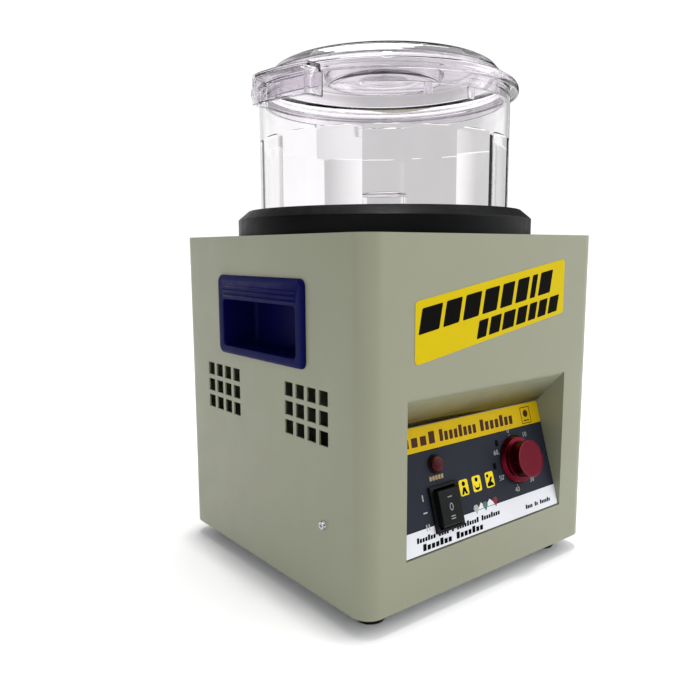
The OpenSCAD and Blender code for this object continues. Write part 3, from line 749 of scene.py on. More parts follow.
class Paint:
    """The finishes of this machine."""

    CABINET = PowderCoat("powder_coat", srgb(133, 135, 114), 0.36, grain_mm=0.25, grain_depth=0.004,
                         mottle=0.015, mottle_mm=60, specular=0.5)
    HANDLE = Finish("handle_plastic", srgb(6, 9, 66), 0.4, grain_mm=0.3, grain_depth=0.006, mottle=0.06,
                    specular=0.2, ior=1.2)
    SEAT = SparkTexture("seat_plastic", srgb(8, 9, 10), 0.4, grain_mm=0.5, grain_depth=0.02,
                        crest_highlight=(0.012, 0.012, 0.012), specular=0.2, ior=1.3)
    BLACK = SparkTexture("black_plastic", srgb(13, 14, 16), 0.38, grain_mm=0.3, grain_depth=0.012,
                         crest_highlight=(0.014, 0.014, 0.015), crest_highlight_share=0.2, specular=0.25, ior=1.3)
    BOWL = ClearPlastic("bowl_plastic", (0.97, 0.96, 0.968), 0.0, mottle=0.01, grain_depth=0.0, specular=0.5,
                        ior=1.22)
    CLEAR = ClearPlastic("clear_plastic", (0.915, 0.885, 0.925), 0.0, mottle=0.01, grain_depth=0.0,
                         specular=0.5)
    LABEL = Finish("label_film", srgb(196, 173, 5), 0.42, grain_mm=1.5, grain_depth=0.006, mottle=0.02,
                   specular=0.06)
    INK = Finish("black_ink", srgb(10, 9, 8), 0.5, grain_mm=0.2, grain_depth=0.003, mottle=0.2, mottle_mm=3,
                 specular=0.1, ior=1.2)
    BROWN_INK = Finish("brown_ink", srgb(66, 36, 22), 0.5, grain_mm=0.2, grain_depth=0.003, specular=0.1)
    PALE_INK = Finish("pale_ink", srgb(160, 164, 160), 0.5, grain_mm=0.2, grain_depth=0.003)
    GREY_INK = Finish("grey_ink", srgb(128, 132, 134), 0.5, grain_mm=0.2, grain_depth=0.003)
    TAN_INK = Finish("tan_ink", srgb(150, 132, 92), 0.5, grain_mm=0.2, grain_depth=0.003)
    YELLOW_INK = Finish("yellow_ink", srgb(226, 204, 34), 0.48, grain_mm=0.2, grain_depth=0.003, specular=0.1)
    WHITE_INK = Finish("white_ink", srgb(214, 216, 222), 0.48, grain_mm=0.2, grain_depth=0.003)
    GREEN_INK = Finish("green_ink", srgb(70, 100, 92), 0.4, grain_mm=0.8, grain_depth=0.003, mottle=0.4,
                       mottle_mm=1.5)
    RED_INK = Finish("red_ink", srgb(120, 12, 34), 0.4, grain_mm=0.8, grain_depth=0.003, mottle=0.4,
                     mottle_mm=1.5)
    LENS = Facetted("lamp_red", srgb(62, 4, 10), 0.22, grain_depth=0.0, specular=0.2, ior=1.3)
    NICKEL = Finish("screw_nickel", srgb(196, 196, 200), 0.24, 1.0, grain_mm=0.15, grain_depth=0.003,
                    mottle_mm=2)
    ZINC = Spangled("zinc_plate", srgb(186, 190, 194), 0.36, 1.0, grain_mm=0.3, grain_depth=0.003)
    CAST = Finish("cast_alloy", srgb(168, 170, 174), 0.5, 0.9, grain_mm=1.1, grain_depth=0.06, mottle=0.1,
                  mottle_mm=8)
    CORE = Stacked("laminations", srgb(104, 106, 114), 0.42, 0.9, grain_mm=0.4, grain_depth=0.005)
    COPPER = Finish("winding_enamel", srgb(190, 104, 50), 0.3, 0.85, grain_mm=0.4, grain_depth=0.01,
                    mottle=0.18, mottle_mm=4, coat=0.5)
    SHAFT = TurnedMetal("ground_shaft", srgb(190, 192, 196), 0.22, 1.0, grain_depth=0.0, mottle_mm=6)
    DISC = TurnedMetal("turned_disc", srgb(188, 190, 194), 0.32, 1.0, grain_depth=0.0, ring_mm=0.8,
                       ring_depth=0.01)
    MAGNET = Finish("magnet_nickel", srgb(206, 204, 198), 0.16, 1.0, grain_mm=0.6, grain_depth=0.002,
                    mottle_mm=5)
    FAN = SparkTexture("fan_plastic", srgb(40, 41, 44), 0.5, grain_mm=0.5, grain_depth=0.02)
    BRASS = Finish("contact_brass", srgb(196, 170, 96), 0.3, 1.0, grain_mm=0.4, grain_depth=0.004,
                   mottle=0.12, mottle_mm=3)
    CREAM = Finish("cream_plastic", srgb(214, 208, 186), 0.45, grain_mm=0.4, grain_depth=0.008)
    WHITE = Finish("white_plastic", srgb(222, 222, 216), 0.4, grain_mm=0.4, grain_depth=0.006)
    OXIDE = Finish("black_oxide", srgb(40, 40, 44), 0.4, 0.9, grain_mm=0.2, grain_depth=0.004)
    RUBBER = SparkTexture("foot_rubber", srgb(18, 18, 18), 0.72, grain_mm=0.6, grain_depth=0.03,
                          crest_highlight=(0.03, 0.03, 0.03), specular=0.15)
    GLASS = ClearPlastic("fuse_glass", (0.92, 0.96, 0.95), 0.0, grain_depth=0.0, specular=0.5)


# ---------------------------------------------------------------- the machine's main frames


class Side(Enum):
    """An upright side of the cabinet, by the direction it faces."""

    FRONT = (0.0, -1.0)
    LEFT = (-1.0, 0.0)
    RIGHT = (1.0, 0.0)


@dataclass(frozen=True)
class Datum:
    """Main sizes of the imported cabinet, in millimetres.

    The control panel leans back by tilt_deg, and its lower edge lies panel_setback behind the
    cabinet's front and panel_rise above its lower edge.
    """

    half: float
    foot: float
    top: float
    tilt_deg: float
    panel_setback: float = 0.8
    panel_rise: float = 30.0

    @classmethod
    def measured(cls, joints: list[dict]) -> "Datum":
        """Reads the sizes from the cabinet's box and the lean from the knob's axis.

        Args:
            joints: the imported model's joints.

        Returns:
            The datum.
        """
        low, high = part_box("cabinet_shell")
        axis = next(j["axis"] for j in joints if j["name"] == "knob_turn")
        return cls(high.x / MM, low.z / MM, high.z / MM, math.degrees(math.atan2(axis[2], -axis[1])))

    def side(self, side: Side, along: float = 0.0, height: float = 0.0) -> Place:
        """Frame on an upright side: x to the viewer's right, y up, z outwards.

        Args:
            side: which side it is.
            along: distance to the viewer's right from the side's middle.
            height: height above the floor.

        Returns:
            The frame.
        """
        nx, ny = side.value
        origin = (nx * self.half - ny * along, ny * self.half + nx * along, height)
        return Place(origin, (-ny, nx, 0.0), (0.0, 0.0, 1.0), (nx, ny, 0.0))

    def panel(self, x: float = 0.0, rise: float = 0.0) -> Place:
        """Frame on the control panel: x sideways, y up the slope, z out of its face.

        Args:
            x: distance to the right of the panel's middle.
            rise: distance up the slope from its lower edge.

        Returns:
            The frame.
        """
        c, s = math.cos(math.radians(self.tilt_deg)), math.sin(math.radians(self.tilt_deg))
        foot = (0.0, self.panel_setback - self.half, self.foot + self.panel_rise)
        return Place(foot, (1.0, 0.0, 0.0), (0.0, s, c), (0.0, -c, s)).moved(x, rise)


@dataclass(frozen=True)
class Carried:
    """A CAD node whose shape is kept, with rounded edges and a finish of its own."""

    node: str
    finish: Finish
    slot: str
    edge_mm: float = 0.4
    body: str = "cabinet"


@dataclass
class Assembly:
    """Pieces that belong together, built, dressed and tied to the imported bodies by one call."""

    datum: Datum
    carried: tuple[Carried, ...] = ()

    def put(self, piece: bpy.types.Object, finish: Finish, slot: str, body: str,
            *nodes: str) -> bpy.types.Object:
        """Dresses a piece and ties it to the frame.

        Args:
            piece: the finished object.
            finish: what it is covered with.
            slot: the record's material slot; not used.
            body: the body that it rides on.
            nodes: the CAD nodes that it stands for.

        Returns:
            The piece.
        """
        piece.data.materials.clear()
        piece.data.materials.append(finish.material())
        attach(piece, body)
        if nodes:
            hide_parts(*nodes)
        log.info("%s: %s, %d faces, on %s", piece.name, finish.name, len(piece.data.polygons), body)
        return piece

    def keep(self, node: str, finish: Finish) -> None:
        """Gives a CAD node that stays as it is a better material.

        Args:
            node: the CAD node.
            finish: what it is covered with.
        """
        for holder in bpy.data.objects[node].material_slots:
            holder.material = finish.material()
        log.info("%s: kept, %s", node, finish.name)

    def carry(self) -> None:
        """Builds every carried part: a merged copy of its node with rounded edges."""
        for part in self.carried:
            piece = from_cad(part.node, part.node + "_body", part.edge_mm)
            self.put(piece, part.finish, part.slot, part.body, part.node)


# ---------------------------------------------------------------- cabinet


@dataclass
class Sheetwork(Assembly):
    """The folded cabinet with its recess, tray and rear panel, and the screws that hold them."""

    top_edge: float = 1.5
    cut_edge: float = 0.35
    fold_width: float = 6.0
    carried: tuple[Carried, ...] = (
        Carried("control_recess", Paint.CABINET, "cabinet", 0.4),
        Carried("base_tray", Paint.ZINC, "plated_steel", 0.4),
        Carried("rear_panel", Paint.CABINET, "cabinet", 0.4),
        Carried("case_screws", Paint.NICKEL, "screw_steel", 0.25),
        Carried("rear_panel_screws", Paint.NICKEL, "screw_steel", 0.25),
        Carried("foot_screws", Paint.NICKEL, "screw_steel", 0.25),
        Carried("earth_stud", Paint.BRASS, "contact_brass", 0.2),
    )

    def build(self) -> None:
        """Builds the cabinet, whose folded top edge is rounder than its cut edges, and the rest."""
        shell = from_cad("cabinet_shell", "cabinet_skin", self.top_edge, 4)
        mesh = shell.data
        corners = np.empty(len(mesh.vertices) * 3)
        mesh.vertices.foreach_get("co", corners)
        ends = np.empty(len(mesh.edges) * 2, int)
        mesh.edges.foreach_get("vertices", ends)
        height = corners.reshape(-1, 3)[ends.reshape(-1, 2)] / MM
        reach = np.abs(height[..., :2]).max(-1).min(-1)
        fold = (height[..., 2].min(-1) > self.datum.top - 0.1) & (reach > self.datum.half - self.fold_width)
        sharp = np.empty(len(mesh.edges), bool)
        mesh.attributes["sharp_edge"].data.foreach_get("value", sharp)
        weight = mesh.attributes.new("bevel_weight_edge", "FLOAT", "EDGE")
        weight.data.foreach_set("value", sharp * np.where(fold, 1.0, self.cut_edge / self.top_edge))
        shell.modifiers["edges"].limit_method = "WEIGHT"
        self.put(shell, Paint.CABINET, "cabinet", "cabinet", "cabinet_shell")
        self.carry()


@dataclass
class CupHandle(Assembly):
    """Flush cup handle: a broad bevelled flange, three finger ribs and a pocket behind its lip."""

    side: Side = Side.LEFT
    node: str = "left_handle"
    width: float = 108.8
    height: float = 57.0
    low: float = 146.5
    proud: float = 2.6
    bevel: float = 2.4
    pocket: tuple[float, float] = (92.3, 33.6)
    pocket_low: float = 6.1
    pocket_inside: float = 42.0
    depth: float = 26.0
    wall: float = 2.0
    rib_pitch: float = 3.3

    def ring(self, width: float, height: float, middle: float, radius: float, z: float) -> np.ndarray:
        """One ring of the shell: a rounded box at depth z whose centre is at height middle.

        Args:
            width, height: the box's sides.
            middle: height of its centre above the handle's lower edge.
            radius: radius of its corners.
            z: how far out of the cabinet's side it lies.

        Returns:
            The ring, one row a point.
        """
        flat = rounded_box(width, height, radius, 8, (0.0, middle))
        return np.concatenate([flat, np.full((len(flat), 1), z)], 1)

    def build(self) -> None:
        """Stacks rings from the housing's back over the flange's face and down into the pocket."""
        w, h, wall = *self.pocket, self.wall
        centre, mouth = self.height / 2, self.pocket_low + h / 2
        inside = self.pocket_low + self.pocket_inside / 2
        box = (w + 2 * wall, self.pocket_inside + 2 * wall, inside)
        turn = np.linspace(0, math.pi / 2, 7)
        rings = [self.ring(box[0] - 6, box[1] - 6, inside, 2, -self.depth - wall),
                 self.ring(*box, 3, -self.depth),
                 self.ring(*box, 3, 0),
                 self.ring(self.width, self.height, centre, 5, 0)]
        rings += [self.ring(self.width - 2 * self.bevel * (1 - math.cos(a)),
                            self.height - 2 * self.bevel * (1 - math.cos(a)), centre,
                            5 - self.bevel * (1 - math.cos(a)) / 2, 0.7 + (self.proud - 0.7) * math.sin(a))
                  for a in turn]
        rings += [self.ring(w + 1.6 * (1 - math.sin(a)), h + 1.6 * (1 - math.sin(a)), mouth,
                            3.2 + 0.8 * (1 - math.sin(a)), self.proud - 0.8 * (1 - math.cos(a)))
                  for a in turn]
        rings += [self.ring(w, h, mouth, 3.2, -3.6), self.ring(w, self.pocket_inside, inside, 3.2, -4.4)]
        rings += [self.ring(w - 8 * (1 - math.cos(a)), self.pocket_inside - 8 * (1 - math.cos(a)), inside,
                            3.2, -self.depth + 4 * (1 - math.sin(a))) for a in turn]
        surface = Surface().grid(np.stack(rings), cap=True)
        place = self.datum.side(self.side, 0.0, self.datum.foot + self.low)
        handle = surface.build(self.node + "_cup", place)
        ribs = Surface()
        bump = fillet([(-0.85, -0.4), (-0.6, 0.75), (0.6, 0.75), (0.85, -0.4)], 0.5, 5)
        ends = np.array([-0.5, -0.485, 0.485, 0.5]) * w
        shrink = np.array([0.2, 1.0, 1.0, 0.2])
        for i in range(3):
            height = self.pocket_low + h + 2.7 + i * self.rib_pitch
            rows = np.stack([np.stack([np.full(len(bump), x), height + bump[:, 0],
                                       self.proud + bump[:, 1] * k], 1) for x, k in zip(ends, shrink)])
            ribs.grid(rows, cap=True)
        handle = combined(handle, ribs.build(self.node + "_ribs", place))
        self.put(handle, Paint.HANDLE, "handle_plastic", "cabinet", self.node)


@dataclass
class Feet(Assembly):
    """Four turned rubber feet with a screw well."""

    height: float = 14.0
    radius: float = 10.4
    well: float = 5.0
    well_top: float = 7.0
    hole: float = 2.1

    def build(self) -> None:
        """Turns one profile at each corner: a tapered, rounded tread and a well from below."""
        profile = fillet([(self.well, 0), (self.radius - 0.8, 0), (self.radius, 2.4),
                          (self.radius, self.height), (self.hole, self.height),
                          (self.hole, self.well_top), (self.well, self.well_top)],
                         [0.5, 0.9, 1.5, 0.3, 0.2, 0.2, 0.4], 5, closed=True)
        for node in ("foot_front_left", "foot_front_right", "foot_rear_left", "foot_rear_right"):
            low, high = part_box(node)
            middle = (low + high) / (2 * MM)
            foot = Surface().turned(profile, 64, closed=True)
            foot = foot.build(node + "_pad", UPRIGHT.moved(middle.x, middle.y))
            self.put(foot, Paint.RUBBER, "foot_rubber", "cabinet", node)


def ink(name: str, place: Place, shapes: list[np.ndarray], thick: float = INK_MM) -> bpy.types.Object:
    """Thin printed shapes: each flat outline pushed up from the face by the ink's thickness.

    Args:
        name: the piece's name.
        place: the frame of the face.
        shapes: the flat outlines.
        thick: how far the ink stands out.

    Returns:
        The printed piece.
    """
    surface = Surface()
    for shape in shapes:
        surface.slab(shape, 0.0, thick)
    return surface.build(name, place)


def slanted_blocks(left: float, right: float, low: float, high: float, widths: tuple[float, ...],
                   gap: float = 0.2, lean: float = 0.2, climb: float = 0.0,
                   short: float = 1.0) -> list[np.ndarray]:
    """A row of leaning blocks that fills the space from left to right.

    Block edges are the running sum of the widths and gaps, scaled to the row's length; each point
    is then pushed right by lean times its height and up by climb times its place along the row.

    Args:
        left, right, low, high: the row's box.
        widths: the blocks' widths, as shares of each other.
        gap: space after each block, as a share of the mean width.
        lean: sideways push for each unit of height.
        climb: rise for each unit along the row.
        short: height of all but every fourth block, as a share of the row's.

    Returns:
        One outline a block.
    """
    w = np.array(widths, float)
    g = gap * w.mean()
    start = np.concatenate([[0], np.cumsum(w + g)[:-1]])
    scale = (right - left - lean * (high - low)) / (start[-1] + w[-1])
    x0, x1 = left + start * scale, left + (start + w) * scale
    corner = (high - low) * 0.06
    blocks = []
    for i, (a, b) in enumerate(zip(x0, x1)):
        top = low + (high - low) * (short if i % 4 else 1.0)
        line = fillet([(a, low), (b, low), (b, top), (a, top)], corner, 3, closed=True)
        x = line[:, 0] + lean * (line[:, 1] - low)
        blocks.append(np.stack([x, line[:, 1] + climb * x], 1))
    return blocks


@dataclass
class FrontLabel(Assembly):
    """Yellow sticker with climbing long sides and two rows of plain black blocks."""

    rise: float = 183.2
    climb_deg: float = 9.1
    film: float = 0.3
    rows: tuple[tuple[float, float, float, float, tuple[float, ...]], ...] = (
        (-71.0, 60.0, -1.2, 14.2, (1.3, 1.05, 1.1, 1.05, 0.9, 0.9, 0.42, 1.0)),
        (-19.0, 68.0, -16.2, -4.8, (0.9, 1.05, 1.2, 1.0, 0.8, 0.9, 1.05)))

    def build(self) -> None:
        """Keeps the film and prints both rows of blocks on it."""
        self.keep("front_label", Paint.LABEL)
        place = self.datum.side(Side.FRONT, 0.0, self.datum.foot + self.rise).moved(z=self.film)
        climb = math.tan(math.radians(self.climb_deg))
        shapes = []
        for left, right, low, high, widths in self.rows:
            shapes += slanted_blocks(left, right, low, high, widths, 0.26, 0.2, climb)
        self.put(ink("label_blocks", place, shapes), Paint.INK, "label_film", "cabinet")


# ---------------------------------------------------------------- bowl, seat and lid


@dataclass
class BowlSeat(Assembly):
    """Black ring and floor that the bowl stands on."""

    radius: float = 109.7
    wall: float = 11.9
    chamfer: float = 102.0
    height: float = 18.4
    well: float = 94.5
    floor: float = 1.5
    plug: float = 96.4
    carried: tuple[Carried, ...] = (Carried("seat_screws", Paint.NICKEL, "screw_steel", 0.25),)

    def build(self) -> None:
        """Turns the ring's rounded profile, with its hub floor, round the machine's axis."""
        profile = fillet(
            [(0, -2), (self.plug, -2), (self.plug, 0), (self.radius, 0), (self.radius, self.wall),
             (self.chamfer, self.height), (self.well + 1.2, self.height), (self.well, self.height - 1.2),
             (self.well, self.floor), (0, self.floor)],
            [0, 0.4, 0.1, 0.5, 1.6, 1.4, 0.7, 0.7, 1.2, 0], 6)
        seat = Surface().turned(profile, 256).build("seat_ring", UPRIGHT.moved(z=self.datum.top), 40)
        self.put(seat, Paint.SEAT, "seat_plastic", "cabinet", "bowl_seat")
        self.carry()


@dataclass
class Bowl(Assembly):
    """Clear bowl: round outside, flat facets inside up to a step, and a hollow centre post."""

    radius: float = 92.5
    wall: float = 2.5
    base: float = 1.5
    floor: float = 3.0
    rim: float = 102.6
    facet_top: float = 69.0
    facets: int = 18
    per_facet: int = 16
    post: float = 14.7
    post_top: float = 33.2
    post_wall: float = 2.0

    def inner_radius(self, angle: np.ndarray, height: np.ndarray) -> np.ndarray:
        """Radius of the inside at an angle and a height.

        The facet's radius is the corner radius times cos(pi / n) over the cosine of the angle from
        the facet's middle.  Above the step a quarter-round climbs from it to the full circle, so a
        facet ends in an arch, and below the last few millimetres a quarter-round meets the floor.

        Args:
            angle: angles round the axis, in radians.
            height: heights above the seat's foot.

        Returns:
            The radii, in an array of the same shape.
        """
        corner = self.radius - self.wall
        pitch = 2 * math.pi / self.facets
        middle = (angle % pitch) - pitch / 2
        flat = corner * math.cos(pitch / 2) / np.cos(middle)
        climb = np.clip((height - (self.facet_top - 3.0)) / 3.0, 0, 1)
        wall = np.minimum(corner, flat + 1.5 * (1 - np.sqrt(1 - climb ** 2)))
        low = np.clip((self.base + self.floor + 3.0 - height) / 3.0, 0, 1)
        return wall - 3.0 * (1 - np.sqrt(1 - low ** 2))

    def build(self) -> None:
        """One closed surface: post, underside, outside, rim, inside, floor and post again."""
        corner, floor = self.radius - self.wall, self.base + self.floor
        bore = self.post - self.post_wall
        outer = fillet([(0, self.post_top - 2), (bore, self.post_top - 2), (bore, self.base),
                        (self.radius, self.base), (self.radius, self.rim), (corner + 0.4, self.rim)],
                       [0, 0.8, 0.8, 2.2, 0.7, 0.2], 6)
        levels = np.concatenate([np.linspace(self.rim - 0.5, self.facet_top + 0.2, 8),
                                 self.facet_top - 3 * (1 - np.sin(np.linspace(math.pi / 2, 0, 14))),
                                 np.linspace(self.facet_top - 3.5, floor + 3.2, 10),
                                 floor + 3 * (1 - np.sin(np.linspace(0, math.pi / 2, 9)))])
        inner = fillet([(self.post + 6, floor), (self.post, floor), (self.post, self.post_top),
                        (0, self.post_top)], [0, 2.0, 1.0, 0], 6)
        angle = np.arange(self.facets * self.per_facet) * 2 * math.pi / (self.facets * self.per_facet)
        wide, high = np.meshgrid(angle, levels)
        columns = len(angle)
        radius = np.concatenate([np.repeat(outer[:, :1], columns, 1), self.inner_radius(wide, high),
                                 np.repeat(inner[:, :1], columns, 1)])
        height = np.concatenate([np.repeat(outer[:, 1:], columns, 1), high,
                                 np.repeat(inner[:, 1:], columns, 1)])
        rows = np.stack([radius * np.cos(angle), radius * np.sin(angle), height], -1)
        bowl = Surface().grid(rows).build("bowl_clear", UPRIGHT.moved(z=self.datum.top), 14)
        self.put(bowl, Paint.BOWL, "clear_plastic", "bowl", "bowl")


@dataclass
class Lid(Assembly):
    """Clear lid: domed, dished in the middle, with a serrated boss, a lip, lugs and a hollow grip."""

    rim: float = 102.6
    lip: float = 98.4
    skirt: float = 89.4
    dish: float = 41.5
    dish_low: float = 111.5
    boss: float = 18.5
    boss_rise: float = 6.4
    serrations: int = 36
    serration: float = 1.5
    grip_deg: float = 189.0
    grip_reach: float = 109.0
    grip_half: float = 27.0
    grip: tuple[float, float] = (85.4, 105.5)
    grip_wall: float = 2.4
    grip_inner: float = 96.6
    grip_edge: float = 2.2
    lugs: tuple[float, ...] = (67.0, 88.0, 247.0, 268.0)

    def shell(self) -> Surface:
        """Turned dome, dish, skirt and lip as one closed profile round the axis.

        Returns:
            The closed surface.
        """
        s, r, d = self.skirt, self.rim, self.dish_low
        profile = fillet(
            [(0, d), (self.dish + 2, d), (self.dish + 2, 120.8), (66, 119.6), (76.5, 118), (82, 113.6),
             (84.5, 109), (s - 2, 105.4), (s - 2, 94), (s, 94), (s, r), (self.lip - 2.4, r),
             (self.lip - 2.4, 100.4), (self.lip - 0.4, 100.4), (self.lip, 102.2),
             (self.lip - 0.1, 104.2), (self.lip - 1.4, 106.6), (94, 108.4), (87.4, 111.6), (85, 115.5),
             (81.5, 119.6), (78, 121.4), (66, 123.4),
             (self.dish + 3.5, 124.6), (self.dish, 123.1), (self.dish, d + 2), (0, d + 2)],
            [0, 1.2, 1.4, 8, 4, 4, 3, 1.5, 0.6, 0.6, 0.4, 0.4, 0.6, 0.8, 1.5, 1.5, 1.8,
             4, 4, 4, 4, 4, 12, 1.6, 1.2, 1.2, 0], 6)
        return Surface().turned(profile, 240)

    def boss_surface(self) -> Surface:
        """Serrated boss: its radius falls by half a wave of the angle, times the serrations.

        Returns:
            The capped surface.
        """
        a = np.arange(self.serrations * 8) * 2 * math.pi / (self.serrations * 8)
        top = 2 + self.boss_rise
        well = 1 + self.boss_rise
        profile = fillet([(self.boss, 1.2), (self.boss, top), (self.boss - 3.2, top),
                          (self.boss - 4.2, well), (0.01, well)], [0, 0.6, 0.6, 0.8, 0], 4)
        depth = np.where(profile[:, :1] > self.boss - 1.0, self.serration, 0.0)
        radius = profile[:, :1] - depth * np.abs(np.sin(self.serrations * a / 2))
        height = np.repeat(profile[:, 1:] + self.dish_low, len(a), 1)
        rows = np.stack([radius * np.cos(a), radius * np.sin(a), height], -1)
        return Surface().grid(rows, cap=True)

    def plan(self, inset: float, inner: float) -> np.ndarray:
        """Grip outline from above.

        Its outer and inner edges are arcs round the machine's axis, its sides are straight, and its
        two outer corners are rounded.

        Args:
            inset: how far the outer edge and the sides are moved in.
            inner: radius of the inner edge.

        Returns:
            The outline, with as many points for every inset.
        """
        half, reach = self.grip_half - inset, self.grip_reach - inset
        share = np.linspace(-1, 1, 11)
        arcs = []
        for radius in (reach, inner):
            angle = share * math.asin(half / radius)
            arcs.append(np.stack([np.cos(angle), np.sin(angle)], 1) * radius)
        radii = np.zeros(2 * len(share))
        radii[[0, len(share) - 1]] = 3.0
        return fillet(np.concatenate([arcs[0], arcs[1][::-1]]), radii, 5, closed=True)

    def grip_block(self) -> Surface:
        """Grip without its hollow: outlines stacked to the top, then in along a quarter-round.

        Returns:
            The capped surface.
        """
        low, top = self.grip
        turn = np.linspace(0, math.pi / 2, 6)
        steps = [(0.5, low), (0.0, low + 0.6)]
        edge = self.grip_edge
        steps += [(edge * (1 - math.cos(t)), top - edge * (1 - math.sin(t))) for t in turn]
        return Surface().stacked([self.plan(inset, self.grip_inner) for inset, _ in steps],
                                 [z for _, z in steps])

    def grip_hollow(self) -> Surface:
        """Space under the grip: the outline one wall further in, open below and towards the bowl.

        Returns:
            The capped surface.
        """
        low, top = self.grip
        wall = self.grip_wall
        roof = top - wall
        steps = [(wall, low - 5), (wall, roof - 1.4), (wall + 0.4, roof - 0.4), (wall + 1.4, roof)]
        return Surface().stacked([self.plan(inset, self.grip_inner - 6) for inset, _ in steps],
                                 [z for _, z in steps])

    def build(self) -> None:
        """Fuses the dome, the boss, the grip and the lugs into one clear moulding."""
        place = UPRIGHT.moved(z=self.datum.top)
        lid = self.shell().build("lid_clear", place, 24)
        boss = self.boss_surface().build("lid_boss", place)
        at_grip = place.spun(self.grip_deg)
        grip = combined(self.grip_block().build("lid_grip", at_grip),
                        self.grip_hollow().build("lid_hollow", at_grip), operation="DIFFERENCE")
        mark = fillet([(0, -1), (3.6, -1), (3.6, 0), (2.6, 0.9), (0, 1.1)], [0, 0, 0.4, 1, 0], 5)
        gate = Surface().turned(mark, 40)
        extras = [boss, grip, gate.build("lid_gate", at_grip.moved(101.5, 20.5, self.grip[1]))]
        for i, angle in enumerate(self.lugs):
            rings = [rounded_box(1.6, width, 0.7, 4, (self.skirt - 1.1, 0)) for width in (5.0, 6.0, 6.0)]
            lug = Surface().stacked(rings, [87.0, 88.0, 95.5])
            extras.append(lug.build(f"lid_lug_{i}", place.spun(angle)))
        lid = combined(lid, *extras)
        lid.data.shade_smooth()
        lid.data.set_sharp_from_angle(angle=math.radians(24))
        self.put(lid, Paint.CLEAR, "clear_plastic", "lid", "lid")


# ---------------------------------------------------------------- control panel


